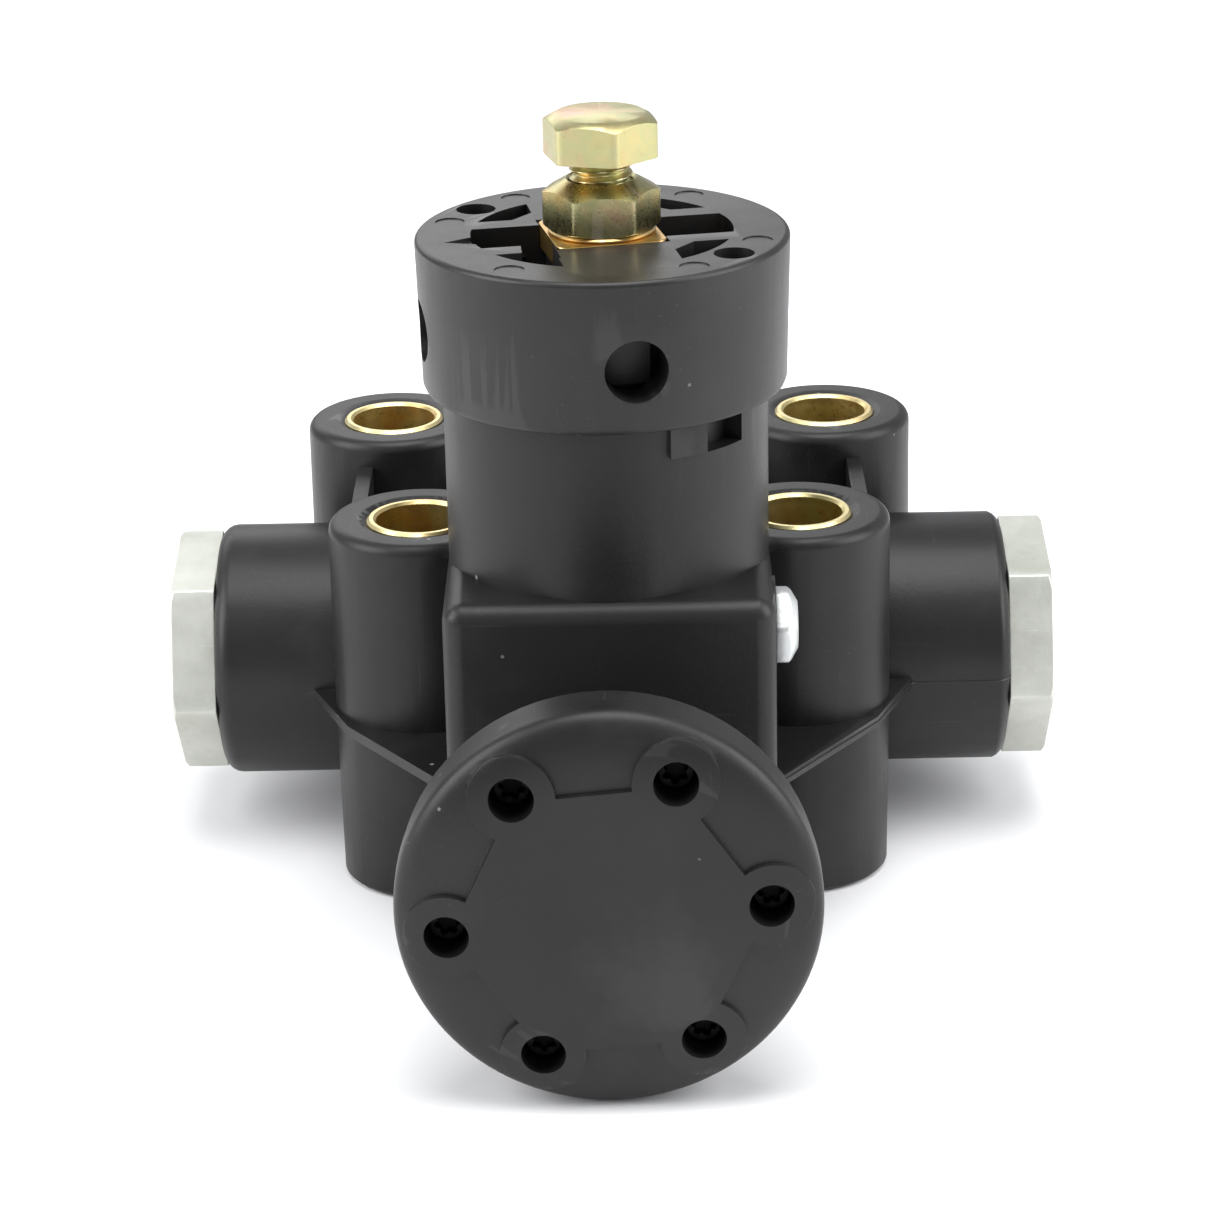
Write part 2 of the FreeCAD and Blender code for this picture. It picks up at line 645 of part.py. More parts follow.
def adjuster_cap():
    """The bayonet cap: slotted roof, spanner holes, and lugs inside the skirt."""
    roof = CAP_TOP - CAP_ROOF_THICK
    profile = [(CAP_BORE_R, CAP_BOTTOM), (CAP_FOOT_R - 0.9, CAP_BOTTOM),
               (CAP_FOOT_R - 0.25, CAP_BOTTOM + 0.3), (CAP_FOOT_R, CAP_BOTTOM + 0.9)]
    for step in range(0, 6):
        a = math.radians(18 * step)
        profile.append((CAP_R - CAP_ROUND + CAP_ROUND * math.cos(a),
                        CAP_TOP - CAP_ROUND + CAP_ROUND * math.sin(a)))
    profile += [(0, CAP_TOP), (0, CAP_PAD_BOTTOM), (CAP_PAD_R, CAP_PAD_BOTTOM),
                (CAP_PAD_R, roof), (CAP_BORE_R, roof)]
    openings = cap_openings() + spanner_holes() + ejector_marks()
    cap = turned(profile).cut(openings + [neck_hole(THREAD_R + 0.7)])
    lug_r = CAP_BORE_R - LUG_REACH
    lugs = [sector(lug_r, CAP_BORE_R + 0.5, LUG_BOTTOM, LUG_TOP, 360 * k / LUG_COUNT, LUG_SPAN)
            for k in range(LUG_COUNT)]
    cap = cap.fuse(lugs)
    cap.rotate(Vector(), Z, CAP_TURN)
    pocket = prism(regular(4, SQUARE_SIDE + 0.2, 45 + SQUARE_TURN), SQUARE_TOP - SQUARE_THICK, 95)
    return on_tower(cap.cut(pocket))


def square_nut():
    """The square plate nut that sits in the cap's pocket."""
    plate = prism(regular(4, SQUARE_SIDE, 45 + SQUARE_TURN), SQUARE_TOP - SQUARE_THICK, SQUARE_TOP)
    return on_tower(plate.cut(neck_hole(NUT_BORE_R)))


def lock_washer():
    base = Vector(0, TOWER_Y, SQUARE_TOP + 0.02)
    return ring(WASHER_R, THREAD_R + 0.3, WASHER_THICK, base, Z)


def lock_nut():
    nut = hexagon(M8_FLATS, NUT_THICK, NUT_TURN, NUT_FOOT_CHAMFER, NUT_DOME)
    nut.translate(Vector(0, 0, SQUARE_TOP + WASHER_THICK + 0.04))
    return on_tower(nut.cut(neck_hole(NUT_BORE_R)))


def adjusting_bolt():
    head = hexagon(M8_FLATS, HEAD_TOP - HEAD_BOTTOM, HEAD_TURN, 0, HEAD_CHAMFER)
    head.translate(Vector(0, 0, HEAD_BOTTOM))
    shank = turned([(0, BOLT_TIP), (THREAD_R - 1, BOLT_TIP), (THREAD_R, BOLT_TIP + 1),
                    (THREAD_R, HEAD_BOTTOM + 1), (0, HEAD_BOTTOM + 1)])
    return on_tower(head.fuse(shank))


def upper_spring_seat():
    """A dished plate that the bolt's tip presses on."""
    disc_top = UPPER_SEAT_BOTTOM + 2
    profile = [(0, UPPER_SEAT_BOTTOM - 2), (7.0, UPPER_SEAT_BOTTOM - 2), (7.4, UPPER_SEAT_BOTTOM),
               (12.2, UPPER_SEAT_BOTTOM), (12.2, disc_top), (6.6, disc_top), (6.4, disc_top + 4),
               (THREAD_R + 0.4, disc_top + 4), (THREAD_R + 0.4, UPPER_SEAT_FLOOR),
               (0, UPPER_SEAT_FLOOR)]
    return on_tower(turned(profile))


def pilot_piston():
    """The sensing piston, with a spring spigot above and a stem below."""
    ball_top = PILOT_SEAT_BOTTOM + ball_offset() + PILOT_BALL_R
    groove_bottom = PISTON_BOTTOM + 0.9
    groove_top = PISTON_TOP - 0.9
    profile = [(0, ball_top + 0.1), (PILOT_STEM_R, ball_top + 0.1), (PILOT_STEM_R, PISTON_BOTTOM),
               (PISTON_R, PISTON_BOTTOM), (PISTON_R, groove_bottom),
               (PISTON_GROOVE_R, groove_bottom), (PISTON_GROOVE_R, groove_top),
               (PISTON_R, groove_top), (PISTON_R, PISTON_TOP), (7.4, PISTON_TOP),
               (7.0, PISTON_TOP + 3), (0, PISTON_TOP + 3)]
    return on_tower(turned(profile))


def ball_offset():
    """Height of the ball's centre above the pilot seat's lower face."""
    return -math.sqrt(PILOT_BALL_R ** 2 - PILOT_SEAT_BORE_R ** 2) - PILOT_GAP


def piston_seal():
    base = Vector(0, TOWER_Y, PISTON_BOTTOM + 0.9)
    length = PISTON_TOP - PISTON_BOTTOM - 1.8
    return ring(SPRING_BORE_R - 0.06, PISTON_GROOVE_R, length, base, Z)


def pilot_ball():
    centre = Vector(0, TOWER_Y, PILOT_SEAT_BOTTOM + ball_offset())
    return Part.makeSphere(PILOT_BALL_R, centre)


def pieces():
    """Every separate piece of the valve, by name."""
    tower = Vector(0, TOWER_Y, 0)
    ball_z = PILOT_SEAT_BOTTOM + ball_offset()
    pilot_floor = tower + Z * PILOT_CAVITY_FLOOR
    plate_back = DISC_FRONT + DIAPHRAGM_THICK
    spring_end = REAR_PLUG_INNER + 4
    spring_start = SEAT_HALF + SEAT_GAP + POPPET_RUBBER + 2.6
    made = {
        "body": body(),
        "side_plug": side_plug(),
        "front_cover": front_cover(),
        "cover_screws": cover_screws(),
        "diaphragm": diaphragm(),
        "diaphragm_plate_front": diaphragm_plate(DISC_FRONT, -Y),
        "diaphragm_plate_rear": diaphragm_plate(plate_back, Y),
        "spindle_nut": spindle_nut(),
        "main_spindle": main_spindle(),
        "guide_bush": ring(BUSH_R, BUSH_BORE_R, BUSH_BACK - BUSH_FRONT, on_line(BUSH_FRONT), Y),
        "spindle_seal": ring(BUSH_R, BUSH_BORE_R, SPINDLE_SEAL_LENGTH - 0.2,
                             on_line(BUSH_BACK + 0.1), Y),
        "valve_seat": valve_seat(),
        "main_poppet": main_poppet(),
        "poppet_seal": poppet_seal(),
        "return_spring": coil(RETURN_SPRING_R, RETURN_WIRE, spring_end - spring_start, RETURN_TURNS,
                              on_line(spring_start), Y),
        "rear_plug": rear_plug(),
        "rear_plug_seal": ring(12.0, CHAMBER_R, 0.8, on_line(REAR_BOSS_END), Y),
        "adjuster_cap": adjuster_cap(),
        "square_nut": square_nut(),
        "lock_washer": lock_washer(),
        "lock_nut": lock_nut(),
        "adjusting_bolt": adjusting_bolt(),
        "upper_spring_seat": upper_spring_seat(),
        "control_spring": coil(CONTROL_SPRING_R, CONTROL_WIRE, UPPER_SEAT_BOTTOM - PISTON_TOP,
                               CONTROL_TURNS, tower + Z * PISTON_TOP, Z),
        "pilot_piston": pilot_piston(),
        "piston_seal": piston_seal(),
        "pilot_seat": ring(PILOT_SEAT_R, PILOT_SEAT_BORE_R, PILOT_SEAT_TOP - PILOT_SEAT_BOTTOM,
                           tower + Z * PILOT_SEAT_BOTTOM, Z),
        "pilot_ball": pilot_ball(),
        "pilot_spring": coil(PILOT_SPRING_R, PILOT_WIRE, ball_z - 2.0 - PILOT_CAVITY_FLOOR,
                             PILOT_TURNS, pilot_floor, Z),
    }
    for side, word in ((-1, "left"), (1, "right")):
        made[f"port_adapter_{word}"] = port_adapter(side)
        made[f"adapter_seal_{word}"] = adapter_seal(side)
        for (x, y), place in ((FRONT_POST, "front"), (REAR_POST, "rear")):
            made[f"sleeve_{place}_{word}"] = sleeve(side * x, y)
    return made


os.makedirs("parts", exist_ok=True)
for name, shape in pieces().items():
    shape.translate(Y * FRAME_SHIFT)
    shape.exportStep(f"parts/{name}.step")
    print(name, "valid" if shape.isValid() else "NOT VALID", len(shape.Solids), "solids",
          round(shape.Volume / 1000, 2), "cm3")
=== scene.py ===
import bpy
import bmesh
import json
import math
from mathutils import Matrix, Vector


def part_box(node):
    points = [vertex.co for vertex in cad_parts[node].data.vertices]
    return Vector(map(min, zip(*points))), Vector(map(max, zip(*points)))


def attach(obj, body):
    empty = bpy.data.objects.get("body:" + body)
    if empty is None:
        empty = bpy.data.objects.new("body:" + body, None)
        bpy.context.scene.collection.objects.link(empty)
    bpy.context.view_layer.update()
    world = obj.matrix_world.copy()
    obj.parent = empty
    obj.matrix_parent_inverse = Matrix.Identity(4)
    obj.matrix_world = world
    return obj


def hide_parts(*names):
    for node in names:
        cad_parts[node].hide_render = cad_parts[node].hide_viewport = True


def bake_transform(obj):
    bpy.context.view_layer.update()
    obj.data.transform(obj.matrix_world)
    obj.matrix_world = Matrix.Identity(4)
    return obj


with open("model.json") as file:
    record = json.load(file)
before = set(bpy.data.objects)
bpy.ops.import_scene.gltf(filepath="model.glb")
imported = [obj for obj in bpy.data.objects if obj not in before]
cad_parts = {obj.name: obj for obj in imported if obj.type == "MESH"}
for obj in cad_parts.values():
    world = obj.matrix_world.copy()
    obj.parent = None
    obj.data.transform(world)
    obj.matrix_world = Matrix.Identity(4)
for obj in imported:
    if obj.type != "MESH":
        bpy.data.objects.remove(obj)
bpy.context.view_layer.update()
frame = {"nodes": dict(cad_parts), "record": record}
nodes = frame["nodes"]
mm = 0.001
zAxis = Vector((0, 0, 1))


def middle(node):
    low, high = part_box(node)
    return (low + high) / 2


# Places, all taken from the frame
tower = middle("adjusting_bolt")
portLine = middle("adapter_seal_left")
mainLine = middle("valve_seat")
portZ = portLine.z


# Small tools

def addObject(name, mesh):
    obj = bpy.data.objects.new(name, mesh)
    bpy.context.scene.collection.objects.link(obj)
    return obj


def meshFrom(bm, name):
    bmesh.ops.recalc_face_normals(bm, faces=bm.faces)
    mesh = bpy.data.meshes.new(name)
    bm.to_mesh(mesh)
    bm.free()
    return mesh


def smoothed(obj, angle=32):
    obj.data.shade_smooth()
    obj.data.set_sharp_from_angle(angle=math.radians(angle))
    return obj


def moved(obj, base, axis=zAxis, turn=0.0):  # from the origin and +Z to the base and axis
    matrix = Matrix.Translation(base) @ zAxis.rotation_difference(Vector(axis)).to_matrix().to_4x4()
    obj.data.transform(matrix @ Matrix.Rotation(turn, 4, "Z"))
    return obj


def copyOfNode(node, name, merge=0.004):
    mesh = nodes[node].data.copy()
    mesh.name = name
    if "custom_normal" in mesh.attributes:
        mesh.attributes.remove(mesh.attributes["custom_normal"])
    bm = bmesh.new()
    bm.from_mesh(mesh)
    bmesh.ops.remove_doubles(bm, verts=bm.verts, dist=merge * mm)
    bm.to_mesh(mesh)
    bm.free()
    return addObject(name, mesh)


def lathe(name, profile, steps=96):  # closed outline of (radius, height) in mm, round Z
    bm = bmesh.new()
    rings = []
    for k in range(steps):
        a = 2 * math.pi * k / steps
        ring = []
        for radius, height in profile:
            ring.append(bm.verts.new((radius * mm * math.cos(a), radius * mm * math.sin(a), height * mm)))
        rings.append(ring)
    count = len(profile)
    for k in range(steps):
        here, after = rings[k], rings[(k + 1) % steps]
        for i in range(count):
            j = (i + 1) % count
            bm.faces.new((here[i], after[i], after[j], here[j]))
    bmesh.ops.remove_doubles(bm, verts=bm.verts, dist=0.0005 * mm)
    bmesh.ops.dissolve_degenerate(bm, edges=bm.edges, dist=0.0005 * mm)
    return addObject(name, meshFrom(bm, name))


def bakedModifiers(obj):  # the modifiers' result as a plain mesh
    bpy.context.view_layer.update()
    graph = bpy.context.evaluated_depsgraph_get()
    mesh = bpy.data.meshes.new_from_object(obj.evaluated_get(graph))
    old = obj.data
    obj.modifiers.clear()
    obj.data = mesh
    mesh.name = obj.name
    if old.users == 0:
        bpy.data.meshes.remove(old)
    return obj


def finishPiece(obj, body, material, replaced=(), angle=32):
    smoothed(obj, angle)
    obj.data.materials.clear()
    obj.data.materials.append(material)
    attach(obj, body)
    if replaced:
        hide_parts(*replaced)
    return obj


# Shader groups

def newGroup(name, inputs, outputs):
    tree = bpy.data.node_groups.new(name, "ShaderNodeTree")
    for label, kind, value in inputs:
        socket = tree.interface.new_socket(name=label, in_out="INPUT", socket_type=kind)
        socket.default_value = value
    for label, kind in outputs:
        tree.interface.new_socket(name=label, in_out="OUTPUT", socket_type=kind)
    start = tree.nodes.new("NodeGroupInput")
    end = tree.nodes.new("NodeGroupOutput")
    return tree, start.outputs, end.inputs


def noiseNode(tree, vector, scale, detail=2.0, rough=0.5):
    node = tree.nodes.new("ShaderNodeTexNoise")
    node.inputs["Detail"].default_value = detail
    node.inputs["Roughness"].default_value = rough
    if vector is not None:
        tree.links.new(vector, node.inputs["Vector"])
    if isinstance(scale, (int, float)):
        node.inputs["Scale"].default_value = scale
    else:
        tree.links.new(scale, node.inputs["Scale"])
    return node.outputs["Fac"]


def mathNode(tree, operation, a, b=None, clamp=False):
    node = tree.nodes.new("ShaderNodeMath")
    node.operation = operation
    node.use_clamp = clamp
    for socket, value in zip(node.inputs, (a, b)):
        if value is None:
            continue
        if isinstance(value, (int, float)):
            socket.default_value = value
        else:
            tree.links.new(value, socket)
    return node.outputs[0]


def rangeNode(tree, value, low, high, toLow=0.0, toHigh=1.0):
    node = tree.nodes.new("ShaderNodeMapRange")
    for label, given in (("Value", value), ("From Min", low), ("From Max", high), ("To Min", toLow),
                         ("To Max", toHigh)):
        if isinstance(given, (int, float)):
            node.inputs[label].default_value = given
        else:
            tree.links.new(given, node.inputs[label])
    return node.outputs[0]


def mixColour(tree, factor, a, b):
    node = tree.nodes.new("ShaderNodeMix")
    node.data_type = "RGBA"
    for socket, value in ((node.inputs[0], factor), (node.inputs[6], a), (node.inputs[7], b)):
        if isinstance(value, (int, float, tuple)):
            socket.default_value = value if not isinstance(value, tuple) else (*value, 1)
        else:
            tree.links.new(value, socket)
    return node.outputs[2]


def objectCoords(tree, scale=(1, 1, 1), location=(0, 0, 0), rotation=(0, 0, 0)):
    coords = tree.nodes.new("ShaderNodeTexCoord")
    mapping = tree.nodes.new("ShaderNodeMapping")
    mapping.inputs["Scale"].default_value = scale
    mapping.inputs["Location"].default_value = location
    mapping.inputs["Rotation"].default_value = rotation
    tree.links.new(coords.outputs["Object"], mapping.inputs["Vector"])
    return mapping.outputs["Vector"]


def makeGrain():  # fine moulded or cast texture: a height from two noises
    inputs = [("Vector", "NodeSocketVector", (0, 0, 0)), ("Fine", "NodeSocketFloat", 3000.0),
              ("Coarse", "NodeSocketFloat", 300.0), ("Balance", "NodeSocketFloat", 0.5)]
    tree, given, out = newGroup("grain", inputs, [("Height", "NodeSocketFloat")])
    fine = noiseNode(tree, given["Vector"], given["Fine"], 3.0)
    coarse = noiseNode(tree, given["Vector"], given["Coarse"], 3.0)
    part = mathNode(tree, "MULTIPLY", coarse, given["Balance"])
    tree.links.new(mathNode(tree, "ADD", fine, part), out["Height"])
    return tree


def makeEdgeWear():  # a mask of rubbed convex edges, broken up by noise
    inputs = [("Vector", "NodeSocketVector", (0, 0, 0)), ("Start", "NodeSocketFloat", 0.52),
              ("Width", "NodeSocketFloat", 0.05), ("Breakup", "NodeSocketFloat", 400.0)]
    tree, given, out = newGroup("edgeWear", inputs, [("Mask", "NodeSocketFloat")])
    geometry = tree.nodes.new("ShaderNodeNewGeometry")
    noise = noiseNode(tree, given["Vector"], given["Breakup"], 4.0, 0.6)
    shifted = mathNode(tree, "ADD", geometry.outputs["Pointiness"],
                       mathNode(tree, "MULTIPLY", mathNode(tree, "SUBTRACT", noise, 0.5), 0.06))
    high = mathNode(tree, "ADD", given["Start"], given["Width"])
    tree.links.new(rangeNode(tree, shifted, given["Start"], high), out["Mask"])
    return tree


def makeDust():  # pale specks and faint smudges
    inputs = [("Vector", "NodeSocketVector", (0, 0, 0)), ("Scale", "NodeSocketFloat", 420.0),
              ("Amount", "NodeSocketFloat", 0.1)]
    outputs = [("Specks", "NodeSocketFloat"), ("Smudge", "NodeSocketFloat")]
    tree, given, out = newGroup("dust", inputs, outputs)
    cells = tree.nodes.new("ShaderNodeTexVoronoi")
    tree.links.new(given["Vector"], cells.inputs["Vector"])
    tree.links.new(given["Scale"], cells.inputs["Scale"])
    dots = rangeNode(tree, cells.outputs["Distance"], 0.11, 0.05)
    split = tree.nodes.new("ShaderNodeSeparateColor")
    tree.links.new(cells.outputs["Color"], split.inputs[0])
    chosen = mathNode(tree, "LESS_THAN", split.outputs[0], given["Amount"])
    tree.links.new(mathNode(tree, "MULTIPLY", dots, chosen), out["Specks"])
    cloud = noiseNode(tree, given["Vector"], 60.0, 5.0, 0.6)
    tree.links.new(rangeNode(tree, cloud, 0.5, 0.75), out["Smudge"])
    return tree


def makeScratches():  # short straight streaks, in patches
    inputs = [("Vector", "NodeSocketVector", (0, 0, 0)), ("Scale", "NodeSocketFloat", 300.0),
              ("Amount", "NodeSocketFloat", 0.5)]
    tree, given, out = newGroup("scratches", inputs, [("Mask", "NodeSocketFloat")])
    total = None
    for turn, stretch in (((0.25, 0.1, 0.4), (1, 0.04, 1)), ((0.9, 0.6, -0.5), (0.04, 1, 1)),
                          ((0.1, -0.15, 0.2), (1, 1, 0.03))):
        mapping = tree.nodes.new("ShaderNodeMapping")
        mapping.inputs["Rotation"].default_value = turn
        mapping.inputs["Scale"].default_value = stretch
        tree.links.new(given["Vector"], mapping.inputs["Vector"])
        lines = noiseNode(tree, mapping.outputs["Vector"], mathNode(tree, "MULTIPLY", given["Scale"], 8.0), 0.0)
        thin = rangeNode(tree, lines, 0.77, 0.86)
        where = rangeNode(tree, noiseNode(tree, given["Vector"], 75.0, 2.0), 0.5, 0.66)
        found = mathNode(tree, "MULTIPLY", thin, where)
        total = found if total is None else mathNode(tree, "MAXIMUM", total, found)
    tree.links.new(mathNode(tree, "MULTIPLY", total, given["Amount"]), out["Mask"])
    return tree


grainGroup = makeGrain()
wearGroup = makeEdgeWear()
dustGroup = makeDust()
scratchGroup = makeScratches()


def placeGroup(tree, group, vector, **values):
    node = tree.nodes.new("ShaderNodeGroup")
    node.node_tree = group
    tree.links.new(vector, node.inputs["Vector"])
    for label, value in values.items():
        node.inputs[label].default_value = value
    return node.outputs


def newMaterial(name, **settings):
    material = bpy.data.materials.new(name)
    material.use_nodes = True
    tree = material.node_tree
    shader = tree.nodes["Principled BSDF"]
    for label, value in settings.items():
        shader.inputs[label.replace("_", " ")].default_value = value
    return material, tree, shader


def addBump(tree, shader, height, strength, distance):
    bump = tree.nodes.new("ShaderNodeBump")
    bump.inputs["Strength"].default_value = strength
    bump.inputs["Distance"].default_value = distance
    tree.links.new(height, bump.inputs["Height"])
    tree.links.new(bump.outputs["Normal"], shader.inputs["Normal"])
    return bump


# Materials

def mouldedPlastic(name, look):
    material, tree, shader = newMaterial(name, IOR=1.5, Specular_IOR_Level=look["gloss"])
    vector = objectCoords(tree)
    grain = placeGroup(tree, grainGroup, vector, Fine=look["fine"], Coarse=look["coarse"], Balance=0.6)
    wear = placeGroup(tree, wearGroup, vector, Start=look["wearStart"], Width=0.06)
    dust = placeGroup(tree, dustGroup, vector, Scale=look["dustScale"], Amount=look["dust"])
    scratch = placeGroup(tree, scratchGroup, vector, Scale=look["scratchScale"], Amount=look["scratch"])
    cloud = rangeNode(tree, noiseNode(tree, vector, 45.0, 4.0), 0.35, 0.7)
    colour = mixColour(tree, cloud, look["dark"], look["pale"])
    colour = mixColour(tree, mathNode(tree, "MULTIPLY", wear["Mask"], 0.35), colour, look["worn"])
    colour = mixColour(tree, mathNode(tree, "MULTIPLY", dust["Smudge"], 0.25), colour, look["worn"])
    colour = mixColour(tree, scratch["Mask"], colour, look["worn"])
    colour = mixColour(tree, mathNode(tree, "MULTIPLY", dust["Specks"], 0.7), colour, (0.35, 0.34, 0.33))
    tree.links.new(colour, shader.inputs["Base Color"])
    rough = mathNode(tree, "ADD", look["rough"], mathNode(tree, "MULTIPLY", grain["Height"], 0.06))
    rough = mathNode(tree, "ADD", rough, mathNode(tree, "MULTIPLY", wear["Mask"], -0.08))
    rough = mathNode(tree, "ADD", rough, mathNode(tree, "MULTIPLY", dust["Smudge"], 0.08), clamp=True)
    tree.links.new(rough, shader.inputs["Roughness"])
    height = mathNode(tree, "SUBTRACT", grain["Height"], mathNode(tree, "MULTIPLY", scratch["Mask"], 1.5))
    addBump(tree, shader, height, look["bump"], 0.00006)
    return material


def platedSteel(name, look):  # yellow passivate, its film pink and green in places
    material, tree, shader = newMaterial(name, Metallic=1.0)
    vector = objectCoords(tree)
    film = noiseNode(tree, vector, look["filmScale"], 3.0, 0.55)
    ramp = tree.nodes.new("ShaderNodeValToRGB")
    tree.links.new(film, ramp.inputs[0])
    stops = ramp.color_ramp.elements
    stops[0].position, stops[0].color = 0.30, (*look["colours"][0], 1)
    stops[1].position, stops[1].color = 0.72, (*look["colours"][-1], 1)
    for k, colour in enumerate(look["colours"][1:-1]):
        stop = stops.new(0.38 + 0.26 * k / max(1, len(look["colours"]) - 3))
        stop.color = (*colour, 1)
    wear = placeGroup(tree, wearGroup, vector, Start=0.54, Width=0.08, Breakup=900.0)
    colour = mixColour(tree, mathNode(tree, "MULTIPLY", wear["Mask"], 0.5), ramp.outputs[0], look["worn"])
    stain = rangeNode(tree, noiseNode(tree, vector, 900.0, 4.0, 0.65), 0.58, 0.72)
    colour = mixColour(tree, mathNode(tree, "MULTIPLY", stain, 0.45), colour, look["stain"])
    tree.links.new(colour, shader.inputs["Base Color"])
    grain = placeGroup(tree, grainGroup, vector, Fine=2600.0, Coarse=500.0, Balance=0.8)
    rough = rangeNode(tree, grain["Height"], 0.3, 1.4, look["rough"] - 0.08, look["rough"] + 0.14)
    tree.links.new(rough, shader.inputs["Roughness"])
    scratch = placeGroup(tree, scratchGroup, vector, Scale=900.0, Amount=0.6)
    height = mathNode(tree, "SUBTRACT", grain["Height"], scratch["Mask"])
    addBump(tree, shader, height, 0.25, 0.00004)
    return material


def machinedMetal(name, look):  # turning marks round one axis, with tumbled dents and scratches
    material, tree, shader = newMaterial(name, Metallic=look.get("metallic", 1.0))
    vector = objectCoords(tree)
    scratch = placeGroup(tree, scratchGroup, vector, Scale=look["scratchScale"], Amount=look["scratch"])
    grain = placeGroup(tree, grainGroup, vector, Fine=look["fine"], Coarse=look["coarse"], Balance=1.0)
    wear = placeGroup(tree, wearGroup, vector, Start=0.53, Width=0.07, Breakup=700.0)
    cloud = rangeNode(tree, noiseNode(tree, vector, look["cloudScale"], 4.0, 0.6), 0.35, 0.68)
    colour = mixColour(tree, cloud, look["dark"], look["pale"])
    colour = mixColour(tree, mathNode(tree, "MULTIPLY", wear["Mask"], 0.6), colour, look["worn"])
    colour = mixColour(tree, mathNode(tree, "MULTIPLY", scratch["Mask"], 0.6), colour, look["worn"])
    tree.links.new(colour, shader.inputs["Base Color"])
    rough = rangeNode(tree, grain["Height"], 0.4, 1.5, look["rough"] - 0.06, look["rough"] + 0.1)
    tree.links.new(rough, shader.inputs["Roughness"])
    height = mathNode(tree, "SUBTRACT", grain["Height"], scratch["Mask"])
    if "lines" in look:  # rings cut by the tool, spaced along the turning axis
        wave = tree.nodes.new("ShaderNodeTexWave")
        wave.bands_direction = look["lines"]
        wave.inputs["Scale"].default_value = look["lineScale"]
        wave.inputs["Distortion"].default_value = 0.6
        wave.inputs["Detail Scale"].default_value = 40.0
        tree.links.new(vector, wave.inputs["Vector"])
        height = mathNode(tree, "ADD", height, mathNode(tree, "MULTIPLY", wave.outputs["Fac"], look["lineDepth"]))
    addBump(tree, shader, height, look["bump"], 0.00005)
    return material


def softRubber(name):
    material, tree, shader = newMaterial(name)
    vector = objectCoords(tree)
    grain = placeGroup(tree, grainGroup, vector, Fine=2500.0, Coarse=400.0, Balance=1.0)
    cloud = rangeNode(tree, noiseNode(tree, vector, 80.0, 3.0), 0.3, 0.7)
    tree.links.new(mixColour(tree, cloud, (0.012, 0.012, 0.012), (0.03, 0.029, 0.028)), shader.inputs["Base Color"])
    tree.links.new(rangeNode(tree, grain["Height"], 0.4, 1.5, 0.5, 0.72), shader.inputs["Roughness"])
    addBump(tree, shader, grain["Height"], 0.3, 0.00006)
    return material


bodyLook = {"dark": (0.0070, 0.0065, 0.0068), "pale": (0.0132, 0.0122, 0.0122), "worn": (0.045, 0.042, 0.041),
            "rough": 0.36, "fine": 2600.0, "coarse": 260.0, "bump": 0.3, "wearStart": 0.55, "gloss": 0.36,
            "dust": 0.05, "dustScale": 300.0, "scratch": 0.35, "scratchScale": 260.0}
capLook = dict(bodyLook, dark=(0.0075, 0.0069, 0.0068), pale=(0.015, 0.0136, 0.013), rough=0.33, scratch=0.5,
               dust=0.05, gloss=0.42)
zincLook = {"filmScale": 150.0, "rough": 0.25, "worn": (0.78, 0.70, 0.55), "stain": (0.34, 0.22, 0.09),
            "colours": [(0.42, 0.30, 0.10), (0.50, 0.40, 0.17), (0.36, 0.35, 0.17), (0.54, 0.44, 0.24),
                        (0.48, 0.30, 0.20)]}
headZincLook = dict(zincLook, colours=[(0.58, 0.42, 0.17), (0.56, 0.48, 0.23), (0.48, 0.47, 0.24), (0.60, 0.43, 0.25),
                                       (0.58, 0.38, 0.28)], rough=0.3, stain=(0.42, 0.30, 0.14))
plateLook = dict(zincLook, colours=[(0.40, 0.22, 0.05), (0.52, 0.32, 0.09), (0.56, 0.40, 0.14)], rough=0.3)
sleeveLook = dict(zincLook, filmScale=110.0, rough=0.28,
                  colours=[(0.82, 0.50, 0.18), (0.82, 0.62, 0.27), (0.66, 0.62, 0.30), (0.86, 0.46, 0.18)])
adapterLook = {"dark": (0.52, 0.53, 0.475), "pale": (0.68, 0.69, 0.63), "worn": (0.76, 0.78, 0.74), "rough": 0.48,
               "fine": 1800.0, "coarse": 240.0, "cloudScale": 70.0, "scratch": 0.8, "scratchScale": 420.0, "bump": 0.5,
               "metallic": 0.85}
plugLook = dict(adapterLook, dark=(0.66, 0.68, 0.68), pale=(0.84, 0.86, 0.86), rough=0.36, metallic=0.75)
steelLook = dict(adapterLook, dark=(0.36, 0.36, 0.37), pale=(0.52, 0.52, 0.53), rough=0.3, metallic=1.0, bump=0.25)
springLook = dict(steelLook, dark=(0.22, 0.22, 0.23), pale=(0.40, 0.40, 0.41), rough=0.32)
screwLook = dict(steelLook, dark=(0.005, 0.005, 0.0055), pale=(0.012, 0.012, 0.013),
                 worn=(0.03, 0.03, 0.032), rough=0.5)
brassLook = dict(steelLook, dark=(0.55, 0.36, 0.12), pale=(0.70, 0.50, 0.20), worn=(0.85, 0.70, 0.40), rough=0.28,
                 lines="Z", lineScale=900.0, lineDepth=0.4)

